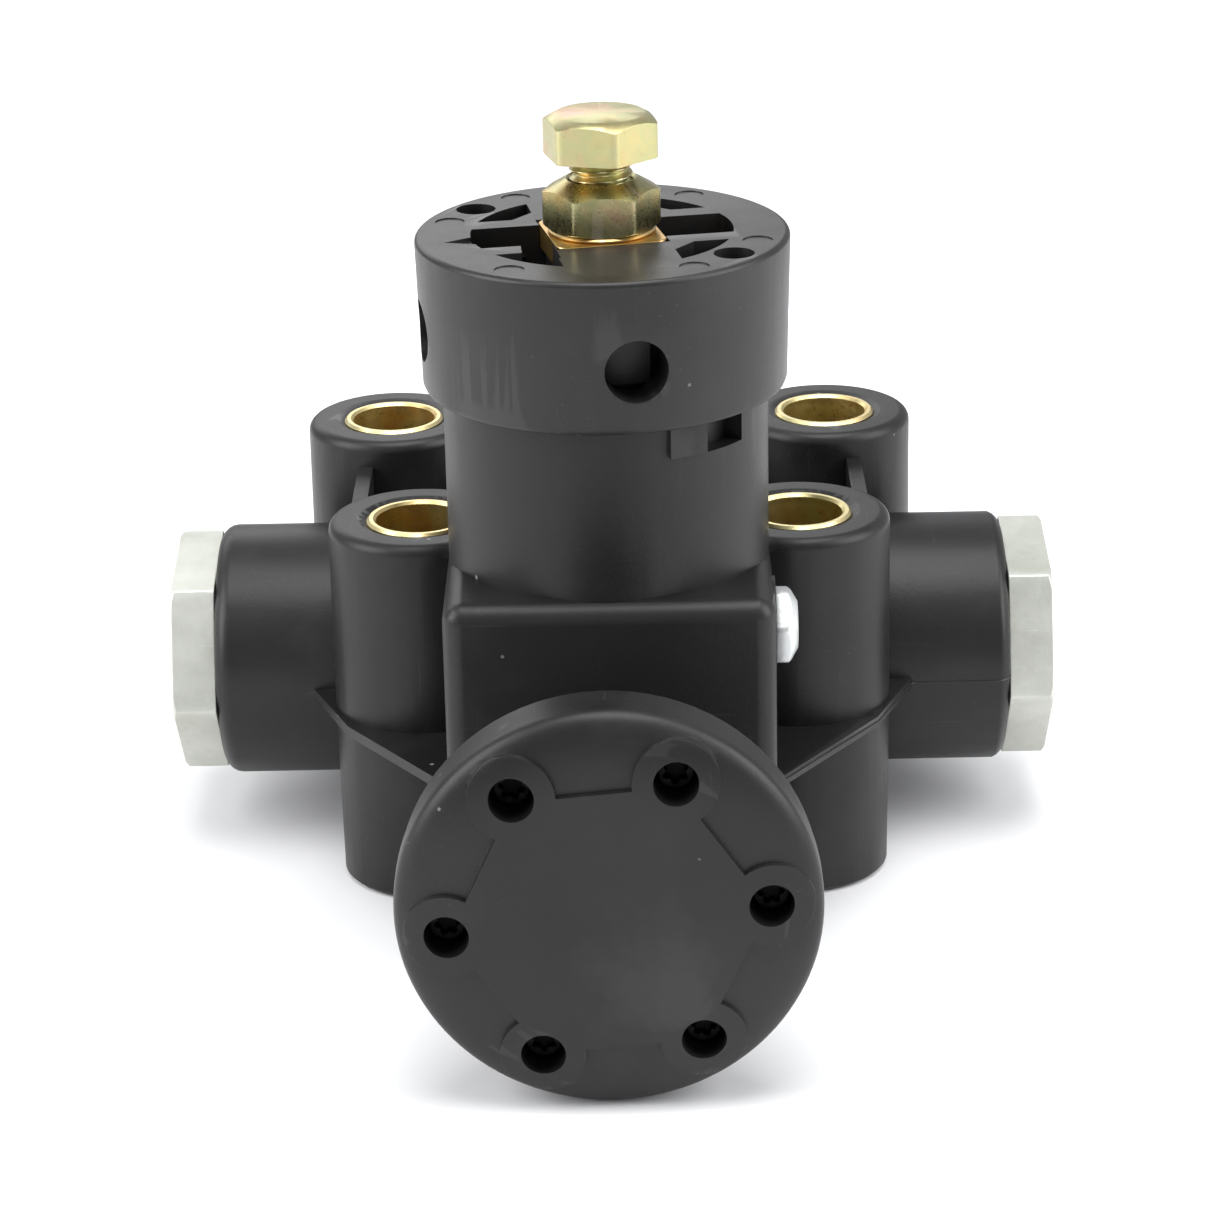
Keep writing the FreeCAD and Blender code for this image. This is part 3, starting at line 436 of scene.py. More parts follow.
materials = {
    "black_plastic": mouldedPlastic("blackMoulding", bodyLook),
    "cap_plastic": mouldedPlastic("capMoulding", capLook),
    "yellow_zinc": platedSteel("yellowZinc", zincLook),
    "plate_zinc": platedSteel("plateZinc", plateLook),
    "head_zinc": platedSteel("headZinc", headZincLook),
    "sleeve_steel": platedSteel("sleeveZinc", sleeveLook),
    "adapter_aluminium": machinedMetal("adapterMetal", adapterLook),
    "plug_aluminium": machinedMetal("plugMetal", plugLook),
    "dark_steel": machinedMetal("darkSteel", screwLook),
    "bright_steel": machinedMetal("brightSteel", steelLook),
    "spring_steel": machinedMetal("springSteel", springLook),
    "brass": machinedMetal("turnedBrass", brassLook),
    "seal_rubber": softRubber("sealRubber"),
}
slotOf = {entry["node"]: entry["material_slot"] for entry in frame["record"]["subparts"]}
bodyOf = {node: body for body, members in frame["record"]["behaviour"]["bodies"].items() for node in members}
print("materials ready")

# Geometry Nodes trees

def newTree(name, inputs):
    tree = bpy.data.node_groups.new(name, "GeometryNodeTree")
    tree.interface.new_socket(name="Geometry", in_out="INPUT", socket_type="NodeSocketGeometry")
    for label, kind, value in inputs:
        socket = tree.interface.new_socket(name=label, in_out="INPUT", socket_type=kind)
        if value is not None:
            socket.default_value = value
    tree.interface.new_socket(name="Geometry", in_out="OUTPUT", socket_type="NodeSocketGeometry")
    start = tree.nodes.new("NodeGroupInput")
    end = tree.nodes.new("NodeGroupOutput")
    return tree, start.outputs, end.inputs["Geometry"]


def addNode(tree, kind, links=None, **settings):
    node = tree.nodes.new(kind)
    for label, value in settings.items():
        setattr(node, label, value)
    for label, value in (links or {}).items():
        if isinstance(value, bpy.types.NodeSocket):
            tree.links.new(value, node.inputs[label])
        else:
            node.inputs[label].default_value = value
    return node


def closeTree(tree, geometry, material, end):  # plain geometry with its material
    real = addNode(tree, "GeometryNodeRealizeInstances", {"Geometry": geometry})
    painted = addNode(tree, "GeometryNodeSetMaterial", {"Geometry": real.outputs[0], "Material": material})
    tree.links.new(painted.outputs[0], end)


def makeRingTree():  # copies of the input shape round a circle, each turned with it
    inputs = [("Count", "NodeSocketInt", 6), ("Radius", "NodeSocketFloat", 0.02),
              ("First", "NodeSocketFloat", 0.0), ("Centre", "NodeSocketVector", (0, 0, 0)),
              ("Twist", "NodeSocketFloat", 0.0), ("Material", "NodeSocketMaterial", None)]
    tree, given, end = newTree("copiesRoundCircle", inputs)
    points = addNode(tree, "GeometryNodePoints", {"Count": given["Count"]})
    index = addNode(tree, "GeometryNodeInputIndex").outputs[0]
    step = mathNode(tree, "DIVIDE", 2 * math.pi, given["Count"])
    angle = mathNode(tree, "ADD", mathNode(tree, "MULTIPLY", index, step), given["First"])
    across = mathNode(tree, "MULTIPLY", mathNode(tree, "COSINE", angle), given["Radius"])
    along = mathNode(tree, "MULTIPLY", mathNode(tree, "SINE", angle), given["Radius"])
    spot = addNode(tree, "ShaderNodeCombineXYZ", {"X": across, "Y": along})
    place = addNode(tree, "ShaderNodeVectorMath", {0: spot.outputs[0], 1: given["Centre"]}, operation="ADD")
    spread = addNode(tree, "GeometryNodeSetPosition", {"Geometry": points.outputs[0], "Position": place.outputs[0]})
    turn = mathNode(tree, "ADD", angle, mathNode(tree, "MULTIPLY", index, given["Twist"]))
    facing = addNode(tree, "ShaderNodeCombineXYZ", {"Z": turn})
    copies = addNode(tree, "GeometryNodeInstanceOnPoints",
                     {"Points": spread.outputs[0], "Instance": given["Geometry"], "Rotation": facing.outputs[0]})
    closeTree(tree, copies.outputs[0], given["Material"], end)
    return tree


def makeThreadTree():  # moves a turned wall in or out along a helix, between two heights
    inputs = [("Inner", "NodeSocketFloat", 0.0), ("Outer", "NodeSocketFloat", 1.0), ("Low", "NodeSocketFloat", 0.0),
              ("High", "NodeSocketFloat", 1.0), ("Pitch", "NodeSocketFloat", 0.001),
              ("Depth", "NodeSocketFloat", 0.0005), ("Material", "NodeSocketMaterial", None)]
    tree, given, end = newTree("helicalThread", inputs)
    position = addNode(tree, "GeometryNodeInputPosition").outputs[0]
    split = addNode(tree, "ShaderNodeSeparateXYZ", {0: position}).outputs
    flat = addNode(tree, "ShaderNodeCombineXYZ", {"X": split["X"], "Y": split["Y"]}).outputs[0]
    radius = addNode(tree, "ShaderNodeVectorMath", {0: flat}, operation="LENGTH").outputs["Value"]
    outward = addNode(tree, "ShaderNodeVectorMath", {0: flat}, operation="NORMALIZE").outputs[0]
    turn = mathNode(tree, "DIVIDE", mathNode(tree, "ARCTAN2", split["Y"], split["X"]), 2 * math.pi)
    climb = mathNode(tree, "DIVIDE", split["Z"], given["Pitch"])
    phase = mathNode(tree, "FRACT", mathNode(tree, "SUBTRACT", climb, turn))
    flank = mathNode(tree, "ABSOLUTE", mathNode(tree, "SUBTRACT", mathNode(tree, "MULTIPLY", phase, 2.0), 1.0))
    groove = rangeNode(tree, flank, 0.12, 0.86)
    fade = mathNode(tree, "MULTIPLY", given["Pitch"], 0.9)
    begin = rangeNode(tree, split["Z"], given["Low"], mathNode(tree, "ADD", given["Low"], fade))
    finish = rangeNode(tree, split["Z"], given["High"], mathNode(tree, "SUBTRACT", given["High"], fade))
    inside = mathNode(tree, "MULTIPLY", mathNode(tree, "GREATER_THAN", radius, given["Inner"]),
                      mathNode(tree, "LESS_THAN", radius, given["Outer"]))
    amount = mathNode(tree, "MULTIPLY", mathNode(tree, "MULTIPLY", begin, finish), inside)
    amount = mathNode(tree, "MULTIPLY", mathNode(tree, "MULTIPLY", amount, groove), given["Depth"])
    offset = addNode(tree, "ShaderNodeVectorMath", {0: outward, "Scale": amount}, operation="SCALE").outputs[0]
    cut = addNode(tree, "GeometryNodeSetPosition", {"Geometry": given["Geometry"], "Offset": offset})
    closeTree(tree, cut.outputs[0], given["Material"], end)
    return tree


def makeSpringTree():  # round wire wound about Z
    inputs = [("Radius", "NodeSocketFloat", 0.01), ("Wire", "NodeSocketFloat", 0.001),
              ("Length", "NodeSocketFloat", 0.02), ("Turns", "NodeSocketFloat", 4.0),
              ("Material", "NodeSocketMaterial", None)]
    tree, given, end = newTree("woundSpring", inputs)
    rise = mathNode(tree, "SUBTRACT", given["Length"], mathNode(tree, "MULTIPLY", given["Wire"], 1.08))
    coil = addNode(tree, "GeometryNodeCurveSpiral",
                   {"Resolution": 40, "Rotations": given["Turns"], "Start Radius": given["Radius"],
                    "End Radius": given["Radius"], "Height": rise})
    half = mathNode(tree, "MULTIPLY", given["Wire"], 0.5)
    section = addNode(tree, "GeometryNodeCurvePrimitiveCircle", {"Resolution": 14, "Radius": half})
    wire = addNode(tree, "GeometryNodeCurveToMesh",
                   {"Curve": coil.outputs[0], "Profile Curve": section.outputs[0], "Fill Caps": True})
    lift = addNode(tree, "ShaderNodeCombineXYZ", {"Z": mathNode(tree, "MULTIPLY", given["Wire"], 0.54)}).outputs[0]
    raised = addNode(tree, "GeometryNodeTransform", {"Geometry": wire.outputs[0], "Translation": lift})
    closeTree(tree, raised.outputs[0], given["Material"], end)
    return tree


def makeFlashTree():  # an uneven bead of flash along a loop of edges
    inputs = [("Thick", "NodeSocketFloat", 0.00012), ("Uneven", "NodeSocketFloat", 0.5),
              ("Material", "NodeSocketMaterial", None)]
    tree, given, end = newTree("partingFlash", inputs)
    loop = addNode(tree, "GeometryNodeMeshToCurve", {"Mesh": given["Geometry"]})
    even = addNode(tree, "GeometryNodeResampleCurve", {"Curve": loop.outputs[0], "Length": 0.0008}, mode="LENGTH")
    noise = addNode(tree, "ShaderNodeTexNoise", {"Scale": 260.0, "Detail": 2.0}).outputs["Fac"]
    change = mathNode(tree, "MULTIPLY", mathNode(tree, "SUBTRACT", noise, 0.5), given["Uneven"])
    thick = mathNode(tree, "MULTIPLY", mathNode(tree, "ADD", change, 1.0), given["Thick"])
    section = addNode(tree, "GeometryNodeCurvePrimitiveCircle", {"Resolution": 6, "Radius": 1.0})
    sized = addNode(tree, "GeometryNodeSetCurveRadius", {"Curve": even.outputs[0], "Radius": thick})
    bead = addNode(tree, "GeometryNodeCurveToMesh",
                   {"Curve": sized.outputs[0], "Profile Curve": section.outputs[0], "Scale": thick})
    closeTree(tree, bead.outputs[0], given["Material"], end)
    return tree


def grown(obj, tree, **values):  # runs a tree over the object and keeps the plain mesh
    modifier = obj.modifiers.new(tree.name, "NODES")
    modifier.node_group = tree
    for item in tree.interface.items_tree:
        if item.item_type == "SOCKET" and item.in_out == "INPUT" and item.name in values:
            modifier[item.identifier] = values[item.name]
    return bakedModifiers(obj)


ringTree = makeRingTree()
threadTree = makeThreadTree()
springTree = makeSpringTree()
flashTree = makeFlashTree()


# Shapes that several pieces share

def bevelled(obj, width, segments=2, angle=38):
    modifier = obj.modifiers.new("edges", "BEVEL")
    modifier.width = width * mm
    modifier.segments = segments
    modifier.limit_method = "ANGLE"
    modifier.angle_limit = math.radians(angle)
    modifier.harden_normals = False
    obj.data.shade_smooth()
    weighted = obj.modifiers.new("evenShading", "WEIGHTED_NORMAL")
    weighted.weight = 90
    weighted.keep_sharp = True
    return bakedModifiers(obj)


def hexShape(name, look, steps=120):  # sizes in mm: a hexagon bar on +Z, its corners turned off at both ends
    flats, length, turn = look["flats"] / 2, look["length"], math.radians(look["turn"] + 30)
    corner = look["flats"] / math.sqrt(3)
    slope = look.get("slope", 0.577)
    bore = look["bore"]
    lead = look.get("lead", 0.5)
    bm = bmesh.new()
    columns = []
    for k in range(steps):
        a = 2 * math.pi * k / steps
        around = (a + math.pi / 6) % (math.pi / 3) - math.pi / 6
        wall = min(flats / math.cos(around), corner - look.get("rounding", 0.12))
        footR, topR = corner - look["foot"], corner - look["top"]
        points = [(bore, lead), (bore + lead, 0)] if bore > 0 else [(0, 0)]
        points += [(min(wall, footR), 0), (wall, max(0, wall - footR) * slope)]
        points += [(wall, length - max(0, wall - topR) * slope), (min(wall, topR), length)]
        points += [(bore + lead, length), (bore, length - lead)] if bore > 0 else [(0, length)]
        direction = a + turn
        columns.append([bm.verts.new((r * mm * math.cos(direction), r * mm * math.sin(direction), z * mm))
                        for r, z in points])
    count = len(columns[0])
    closed = count if bore > 0 else count - 1
    for k in range(steps):
        here, after = columns[k], columns[(k + 1) % steps]
        for i in range(closed):
            j = (i + 1) % count
            bm.faces.new((here[i], after[i], after[j], here[j]))
    bmesh.ops.remove_doubles(bm, verts=bm.verts, dist=0.002 * mm)
    bmesh.ops.dissolve_degenerate(bm, edges=bm.edges, dist=0.0005 * mm)
    return addObject(name, meshFrom(bm, name))


def joinedShapes(name, shapes):
    bm = bmesh.new()
    for shape in shapes:
        bm.from_mesh(shape.data)
        mesh = shape.data
        bpy.data.objects.remove(shape)
        bpy.data.meshes.remove(mesh)
    return addObject(name, meshFrom(bm, name))


def threadedRod(name, look):  # rows of points close enough for the thread to be cut in them
    rows = int((look["top"] - look["tip"]) / look["pitch"] * 10)
    outline = [(0, look["tip"]), (look["radius"] - 0.9, look["tip"])]
    for k in range(rows + 1):
        z = look["tip"] + 0.9 + (look["top"] - look["tip"] - 0.9) * k / rows
        outline.append((look["radius"], z))
    outline.append((0, look["top"]))
    return lathe(name, outline, 72)


def finish(obj, node, slotName=None, others=(), angle=32, material=None):  # rides and replaces as the node does
    slotName = slotName or slotOf[node]
    return finishPiece(obj, bodyOf[node], material or materials[slotName], [node, *others], angle)


# Moulded pieces

mouldLook = {"bodyEdge": 0.28, "capEdge": 0.18, "coverEdge": 0.22, "flash": 0.13}


def mouldedPiece(node, name, edge):
    piece = copyOfNode(node, name)
    bm = bmesh.new()
    bm.from_mesh(piece.data)
    bmesh.ops.dissolve_limit(bm, angle_limit=math.radians(0.7), verts=bm.verts, edges=bm.edges)
    bm.to_mesh(piece.data)
    bm.free()
    bevelled(piece, edge)
    return finish(piece, node, angle=40)


def makeFlash(body):  # the bead left where the mould halves met, on the outside only
    bm = bmesh.new()
    bm.from_mesh(body.data)
    everything = bm.verts[:] + bm.edges[:] + bm.faces[:]
    cut = bmesh.ops.bisect_plane(bm, geom=everything, plane_co=(0, 0, portZ), plane_no=(0, 0, 1))["geom_cut"]
    keep = {e for e in cut if isinstance(e, bmesh.types.BMEdge)}
    loops = []
    left = set(keep)
    while left:
        loop, queue = set(), [left.pop()]
        while queue:
            edge = queue.pop()
            loop.add(edge)
            for vert in edge.verts:
                for other in vert.link_edges:
                    if other in left:
                        left.discard(other)
                        queue.append(other)
        loops.append(loop)
    outer = max(loops, key=lambda loop: (max(v.co.x for e in loop for v in e.verts)
                                         - min(v.co.x for e in loop for v in e.verts)))
    line = bmesh.new()
    made = {}
    for edge in outer:
        ends = []
        for vert in edge.verts:
            if vert not in made:
                made[vert] = line.verts.new(vert.co)
            ends.append(made[vert])
        line.edges.new(ends)
    bm.free()
    mesh = bpy.data.meshes.new("partingFlash")
    line.to_mesh(mesh)
    line.free()
    bead = addObject("partingFlash", mesh)
    grown(bead, flashTree, Thick=mouldLook["flash"] * mm, Material=materials["black_plastic"])
    return finishPiece(bead, "housing", materials["black_plastic"])


bodyPiece = mouldedPiece("body", "bodyMoulding", mouldLook["bodyEdge"])
mouldedPiece("adjuster_cap", "capMoulding", mouldLook["capEdge"])
mouldedPiece("front_cover", "coverMoulding", mouldLook["coverEdge"])
makeFlash(bodyPiece)

print("moulded pieces ready")


# Adjusting screw set

boltLook = {"flats": 12.85, "length": 5.3, "turn": 45, "foot": 0.25, "top": 1.9, "bore": 0,
            "radius": 3.93, "pitch": 1.25, "depth": 0.62}
nutLook = {"flats": 12.85, "length": 6.2, "turn": 3, "foot": 1.0, "top": 3.0, "bore": 3.98, "lead": 0.35}
plateLookSizes = {"side": 13.9, "thick": 3.0, "turn": 57, "corner": 0.9, "bore": 4.0}


def makeBolt():
    low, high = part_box("adjusting_bolt")
    headFoot = high.z / mm - boltLook["length"]
    shank = threadedRod("shank", dict(boltLook, tip=low.z / mm, top=headFoot))
    grown(shank, threadTree, Inner=0.5 * boltLook["radius"] * mm, Outer=1.2 * boltLook["radius"] * mm,
          Low=low.z, High=headFoot * mm + 0.0015, Pitch=boltLook["pitch"] * mm, Depth=-boltLook["depth"] * mm,
          Material=materials["yellow_zinc"])
    head = hexShape("head", boltLook)
    bevelled(head, 0.14, 2, 30)
    moved(head, (0, 0, headFoot * mm))
    bolt = joinedShapes("adjustingBolt", [shank, head])
    moved(bolt, (tower.x, tower.y, 0))
    return finish(bolt, "adjusting_bolt", material=materials["head_zinc"])


def makeNut():
    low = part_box("lock_nut")[0]
    nut = hexShape("lockNut", nutLook)
    bevelled(nut, 0.16, 2, 30)
    moved(nut, (tower.x, tower.y, low.z))
    return finish(nut, "lock_nut")


def makeWasher():
    low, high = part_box("lock_washer")
    outer, thick = (high.x - low.x) / 2 / mm, (high.z - low.z) / mm
    outline = [(4.23, 0)] + [(outer - 0.2, 0), (outer, 0.2), (outer, thick - 0.2), (outer - 0.2, thick), (4.4, thick)]
    washer = lathe("lockWasher", outline, 96)
    moved(washer, (tower.x, tower.y, low.z))
    return finish(washer, "lock_washer", material=materials["plate_zinc"])


def makeSquarePlate():
    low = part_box("square_nut")[0]
    look = plateLookSizes
    half, c = look["side"] / 2, look["corner"]
    bm = bmesh.new()
    levels = []
    steps = 64
    for z in (0.0, look["thick"]):
        wall, hole = [], []
        for k in range(steps):
            a = 2 * math.pi * k / steps + 0.001
            x, y = math.cos(a), math.sin(a)
            reach = min(half / max(abs(x), abs(y)), (2 * half - c) / (abs(x) + abs(y)))
            wall.append(bm.verts.new((x * reach * mm, y * reach * mm, z * mm)))
            hole.append(bm.verts.new((x * look["bore"] * mm, y * look["bore"] * mm, z * mm)))
        levels.append((wall, hole))
    (wallLow, holeLow), (wallHigh, holeHigh) = levels
    for k in range(steps):
        n = (k + 1) % steps
        bm.faces.new((wallLow[k], wallLow[n], wallHigh[n], wallHigh[k]))
        bm.faces.new((wallHigh[k], wallHigh[n], holeHigh[n], holeHigh[k]))
        bm.faces.new((holeHigh[k], holeHigh[n], holeLow[n], holeLow[k]))
        bm.faces.new((holeLow[k], holeLow[n], wallLow[n], wallLow[k]))
    plate = addObject("squarePlate", meshFrom(bm, "squarePlate"))
    bevelled(plate, 0.2, 2, 50)
    moved(plate, (tower.x, tower.y, low.z), turn=math.radians(look["turn"] - 45))
    return finish(plate, "square_nut", material=materials["plate_zinc"])


makeBolt()
makeNut()
makeWasher()
makeSquarePlate()
print("screw set ready")


# Sleeves in the posts

sleeveLook = {"outer": 6.95, "bore": 5.75, "edge": 0.35, "pitch": 0.95, "marks": 0.06}


def makeSleeves(place, left, right):
    low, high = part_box(left)
    length = (high.z - low.z) / mm
    outer, bore, edge = (sleeveLook[k] for k in ("outer", "bore", "edge"))
    outline = [(bore, edge), (bore + edge, 0)] + [(outer - 0.1, 0), (outer, 0.1)]
    outline += [(outer, length - edge), (outer - edge, length), (bore + edge, length)]
    rows = 110  # down the bore, close enough for the reamer's marks
    for k in range(rows):
        outline.append((bore, length - edge - (length - 2 * edge) * k / rows))
    sleeve = lathe("sleeves" + place, outline, 64)
    grown(sleeve, threadTree, Inner=(bore - 0.1) * mm, Outer=(bore + 0.1) * mm, Low=edge * mm,
          High=(length - edge) * mm, Pitch=sleeveLook["pitch"] * mm, Depth=sleeveLook["marks"] * mm,
          Material=materials["sleeve_steel"])
    span = (middle(right).x - middle(left).x) / 2
    grown(sleeve, ringTree, Count=2, Radius=span, First=0.0, Centre=(0, middle(left).y, low.z),
          Material=materials["sleeve_steel"])
    return finish(sleeve, left, others=[right])


makeSleeves("Front", "sleeve_front_left", "sleeve_front_right")
makeSleeves("Rear", "sleeve_rear_left", "sleeve_rear_right")


# Fittings screwed into the body

adapterLook = {"flats": 28.6, "length": 5.9, "foot": 0.1, "top": 0.8, "bore": 9.3, "lead": 1.5, "rounding": 0.1,
               "spigot": 12.6, "depth": 15.0, "pitch": 1.81, "threadDepth": 0.7, "groove": 1.5}
sidePlugLook = {"flats": 9.0, "length": 2.8, "turn": 18, "foot": 0.1, "top": 2.2, "bore": 0}
rearPlugLook = {"flats": 22.0, "length": 4.4, "turn": 0, "foot": 0.1, "top": 1.4, "bore": 0}


def makeAdapter(node, side):
    low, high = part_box(node)
    face = (high.x if side > 0 else -low.x) / mm - adapterLook["length"]  # where the hexagon meets the tube
    head = hexShape("head", dict(adapterLook, turn=30 + side * 10, lead=0.0))
    depth, bore, spigot = adapterLook["depth"], adapterLook["bore"], adapterLook["spigot"]
    length = adapterLook["length"]
    groove = spigot - adapterLook["groove"]
    outline = [(spigot, 0.2), (spigot, -1.7), (groove, -1.8), (groove, -4.0), (spigot, -4.1), (spigot, -depth + 0.8),
               (spigot - 0.8, -depth), (bore + 0.6, -depth)]
    rows = 90
    for k in range(rows + 1):
        outline.append((bore, -depth + 0.6 + (depth + length - 2.1) * k / rows))
    outline += [(bore + 1.5, length), (bore + 1.8, length - 0.3), (bore + 1.8, 0.2)]
    tube = lathe("tube", outline, 96)
    bm = bmesh.new()  # the hexagon's own bore is widened, so that only the threaded wall shows
    bm.from_mesh(head.data)
    for vert in bm.verts:
        if vert.co.xy.length < (bore + 0.2) * mm:
            vert.co.xy = vert.co.xy.normalized() * (bore + 1.5) * mm
    bm.to_mesh(head.data)
    bm.free()
    bevelled(head, 0.18, 2, 30)
    grown(tube, threadTree, Inner=(bore - 0.1) * mm, Outer=(bore + 0.1) * mm, Low=-depth * mm,
          High=(length - 0.2) * mm, Pitch=adapterLook["pitch"] * mm, Depth=adapterLook["threadDepth"] * mm,
          Material=materials["adapter_aluminium"])
    adapter = joinedShapes("portAdapterRight" if side > 0 else "portAdapterLeft", [tube, head])
    moved(adapter, (side * face * mm, portLine.y, portZ), (side, 0, 0))
    return finish(adapter, node)


def makeSidePlug():
    low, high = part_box("side_plug")
    head = hexShape("head", sidePlugLook)
    bevelled(head, 0.2, 2, 30)
    face = high.x / mm - sidePlugLook["length"]
    shank = threadedRod("shank", {"tip": low.x / mm - face, "top": 0.3, "radius": 3.5, "pitch": 1.0})
    grown(shank, threadTree, Inner=0.002, Outer=0.004, Low=low.x - face * mm, High=0.0, Pitch=0.001,
          Depth=-0.0005, Material=materials["plug_aluminium"])
    plug = joinedShapes("sidePlug", [shank, head])
    centre = middle("side_plug")
    moved(plug, (face * mm, centre.y, centre.z), (1, 0, 0))
    return finish(plug, "side_plug")


def makeRearPlug():
    low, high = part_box("rear_plug")
    head = hexShape("head", rearPlugLook)
    bevelled(head, 0.25, 2, 30)
    face = high.y / mm - rearPlugLook["length"]
    inner = low.y / mm - face
    outline = [(7.2, inner), (9.0, inner), (9.25, inner + 0.3), (9.25, 0.2), (0, 0.2), (0, inner + 4), (7.2, inner + 4)]
    shank = lathe("shank", outline, 72)
    plug = joinedShapes("rearPlug", [shank, head])
    moved(plug, (mainLine.x, face * mm, mainLine.z), (0, 1, 0))
    return finish(plug, "rear_plug")


makeAdapter("port_adapter_left", -1)
makeAdapter("port_adapter_right", 1)
makeSidePlug()
makeRearPlug()
print("fittings ready")


# Cover screws with a six-lobed drive

screwLookSizes = {"head": 2.5, "thick": 1.6, "shank": 1.35, "reach": 5.0, "drive": 1.25, "lobe": 0.22, "deep": 1.0,
                  "circle": 19.0, "first": 5.0, "well": 1.2, "pitch": 0.9}


def makeCoverScrews():
    look = screwLookSizes
    steps = 48
    bm = bmesh.new()
    levels = [("drive", look["thick"] - look["deep"]), ("drive", look["thick"] - 0.15), ("wide", look["thick"]),
              (look["head"] - 0.5, look["thick"]), (look["head"] - 0.12, look["thick"] - 0.25),
              (look["head"], look["thick"] - 0.7), (look["head"], 0.1), (look["head"] - 0.1, 0)]
    rings = []
    for radius, height in levels:
        ring = []
        for k in range(steps):
            a = 2 * math.pi * k / steps
            lobed = look["drive"] + look["lobe"] * math.cos(6 * a)
            r = lobed if radius == "drive" else lobed + 0.15 if radius == "wide" else radius
            ring.append(bm.verts.new((r * mm * math.cos(a), r * mm * math.sin(a), height * mm)))
        rings.append(ring)
    for lower, upper in zip(rings, rings[1:]):
        for k in range(steps):
            n = (k + 1) % steps
            bm.faces.new((lower[k], lower[n], upper[n], upper[k]))
    bm.faces.new(rings[0])
    bm.faces.new(rings[-1])
    head = addObject("head", meshFrom(bm, "head"))
    shank = threadedRod("shank", {"tip": -look["reach"], "top": 0.2, "radius": look["shank"], "pitch": look["pitch"]})
    moved(shank, (0, 0, 0))
    grown(shank, threadTree, Inner=0.8 * look["shank"] * mm, Outer=1.2 * look["shank"] * mm,
          Low=-look["reach"] * mm, High=0.0, Pitch=look["pitch"] * mm, Depth=-0.35 * mm,
          Material=materials["dark_steel"])
    stretch = look["reach"] + look["well"]  # the shank reaches through the cover into the flange
    for vert in shank.data.vertices:
        vert.co.z *= stretch / look["reach"]
    screws = joinedShapes("coverScrews", [shank, head])
    moved(screws, (0, 0, look["well"] * mm))
    grown(screws, ringTree, Count=6, Radius=look["circle"] * mm, First=math.radians(look["first"]), Twist=0.37,
          Material=materials["dark_steel"])
    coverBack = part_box("front_cover")[1].y
    moved(screws, (mainLine.x, coverBack, mainLine.z), (0, -1, 0))
    return finish(screws, "cover_screws")


makeCoverScrews()
print("cover screws ready")


# Springs and the inner parts

springs = {
    "control_spring": {"radius": 9.3, "wire": 2.6, "turns": 3.5, "axis": zAxis, "ends": ("cap", "spring_seat")},
    "return_spring": {"radius": 5.9, "wire": 1.1, "turns": 5.0, "axis": Vector((0, 1, 0)),
                      "ends": ("spindle", "housing")},
    "pilot_spring": {"radius": 2.2, "wire": 0.6, "turns": 6.0, "axis": zAxis, "ends": ("housing", "ball")},
}


def makeSpring(node, look):
    low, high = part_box(node)
    axis = look["axis"]
    start, end = low.dot(axis), high.dot(axis)
    middlePoint = middle(node)
    base = middlePoint - axis * middlePoint.dot(axis)
    coil = lathe(node + "Seed", [(0, 0), (1, 0), (1, 1)], 3)
    grown(coil, springTree, Radius=look["radius"] * mm, Wire=look["wire"] * mm, Length=end - start,
          Turns=look["turns"], Material=materials["spring_steel"])
    moved(coil, base + axis * start, axis)
    coil.name = node.replace("_s", "S")
    smoothed(coil, 40)
    coil.data.materials.clear()
    coil.data.materials.append(materials["spring_steel"])
    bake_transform(coil)
    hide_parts(node)


for node, look in springs.items():
    makeSpring(node, look)


def makeDiaphragm():  # clamped rim, dished wall with a rolled fold, flat middle
    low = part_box("diaphragm")[0]
    dish = 2.2
    outline = [(3.0, dish), (11.6, dish), (12.2, dish - 0.25), (12.8, 1.5), (13.4, 1.25), (14.0, 1.35), (14.6, 0.9),
               (15.3, 0.1), (15.8, 0), (17.0, 0), (17.0, 1.0), (15.4, 1.0), (15.0, 1.5), (14.5, 2.0), (13.9, 2.35),
               (13.2, 2.3), (12.6, 2.5), (12.0, 3.0), (11.4, dish + 1), (3.0, dish + 1)]
    sheet = lathe("diaphragmSheet", outline, 120)
    moved(sheet, (mainLine.x, low.y, mainLine.z), (0, 1, 0))
    smoothed(sheet, 50)
    sheet.data.materials.append(materials["seal_rubber"])
    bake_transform(sheet)
    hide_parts("diaphragm")


makeDiaphragm()

innerNodes = ["diaphragm_plate_front", "diaphragm_plate_rear", "spindle_nut", "main_spindle", "guide_bush",
              "spindle_seal", "valve_seat", "main_poppet", "poppet_seal", "rear_plug_seal", "upper_spring_seat",
              "pilot_piston", "piston_seal", "pilot_seat", "pilot_ball", "adapter_seal_left", "adapter_seal_right"]
for node in innerNodes:
    words = node.split("_")
    piece = copyOfNode(node, words[0] + "".join(word.capitalize() for word in words[1:]))
    finish(piece, node, angle=30)
print("inner parts ready")


# Stage

def makeFloor():
    bm = bmesh.new()
    half = 3.0
    corners = [bm.verts.new((x, y, -0.0002)) for x, y in ((-half, -half), (half, -half), (half, half), (-half, half))]
    bm.faces.new(corners)
    floor = addObject("floor", meshFrom(bm, "floor"))
    material, _, shader = newMaterial("paleFloor", Base_Color=(0.86, 0.86, 0.87, 1), Roughness=0.9)
    shader.inputs["Specular IOR Level"].default_value = 0.1
    floor.data.materials.append(material)


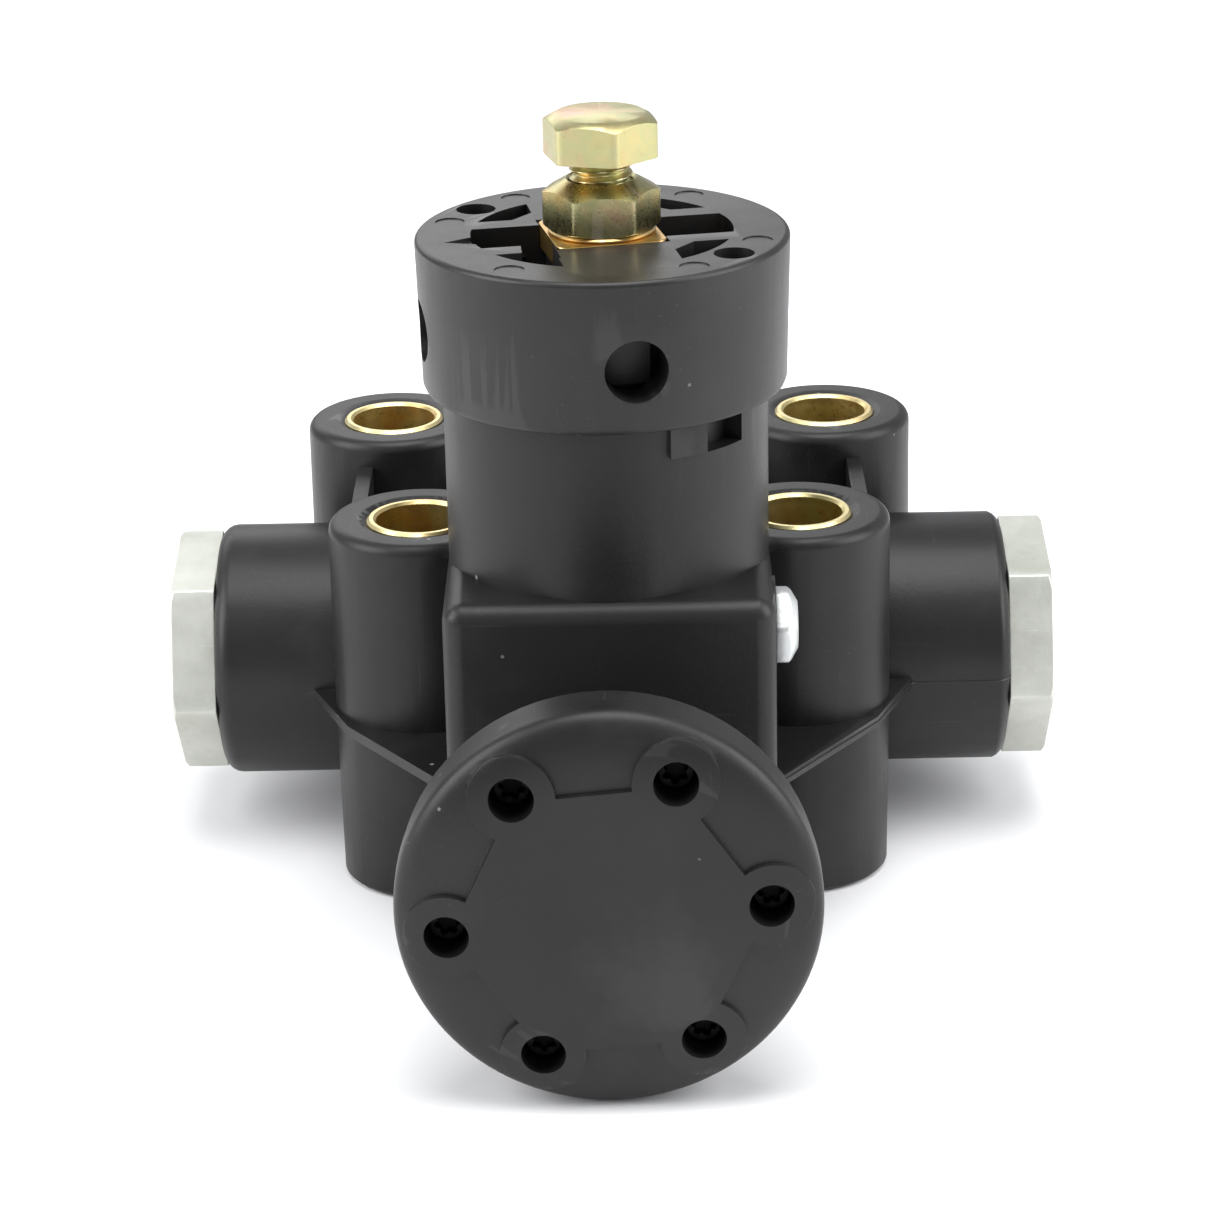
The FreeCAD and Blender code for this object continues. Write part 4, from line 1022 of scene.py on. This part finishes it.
def addLight(name, place, target, size, power, colour=(1, 1, 1)):
    light = bpy.data.lights.new(name, "AREA")
    light.shape = "RECTANGLE"
    light.size, light.size_y = size
    light.energy = power
    light.color = colour
    lamp = bpy.data.objects.new(name, light)
    bpy.context.scene.collection.objects.link(lamp)
    lamp.location = place
    lamp.rotation_euler = (Vector(target) - Vector(place)).to_track_quat("-Z", "Y").to_euler()


lightLook = {"room": 0.5, "left": 5.0, "right": 4.4, "top": 5.0, "rear": 1.7}


def makeLights():
    world = bpy.data.worlds.new("room")
    bpy.context.scene.world = world
    world.use_nodes = True
    world.node_tree.nodes["Background"].inputs[0].default_value = (0.95, 0.97, 1.0, 1)
    world.node_tree.nodes["Background"].inputs[1].default_value = lightLook["room"]
    aim = (0, 0, 0.045)
    addLight("leftSoft", (-0.62, -0.18, 0.42), aim, (0.45, 0.6), lightLook["left"])
    addLight("rightSoft", (0.62, -0.14, 0.40), aim, (0.45, 0.6), lightLook["right"])
    addLight("topSoft", (0.05, -0.05, 0.8), aim, (0.6, 0.5), lightLook["top"])
    addLight("rearSoft", (-0.28, 0.85, 0.47), (0, 0, 0.09), (0.8, 0.35), lightLook["rear"])


cameraView = {"place": Vector((0.0033, -0.4492, 0.2157)), "pitch": -21.45, "yaw": -0.38, "roll": 1.21, "lens": 108.99}


def makeCamera(look):
    pitch, yaw, roll = (math.radians(look[k]) for k in ("pitch", "yaw", "roll"))
    ahead = Vector((math.sin(yaw) * math.cos(pitch), math.cos(yaw) * math.cos(pitch), math.sin(pitch)))
    level = Vector((math.cos(yaw), -math.sin(yaw), 0))
    up = level.cross(ahead)
    right = math.cos(roll) * level - math.sin(roll) * up
    up = math.sin(roll) * level + math.cos(roll) * up
    camera = bpy.data.cameras.new("camera")
    camera.lens = look["lens"]
    camera.sensor_width = 36
    camera.clip_end = 20
    obj = bpy.data.objects.new("camera", camera)
    bpy.context.scene.collection.objects.link(obj)
    turn = Matrix((right, up, -ahead)).transposed().to_4x4()
    obj.matrix_world = Matrix.Translation(look["place"]) @ turn
    bpy.context.scene.camera = obj


makeFloor()
makeLights()
makeCamera(cameraView)
bpy.context.scene.view_settings.view_transform = "Standard"
print("stage ready")
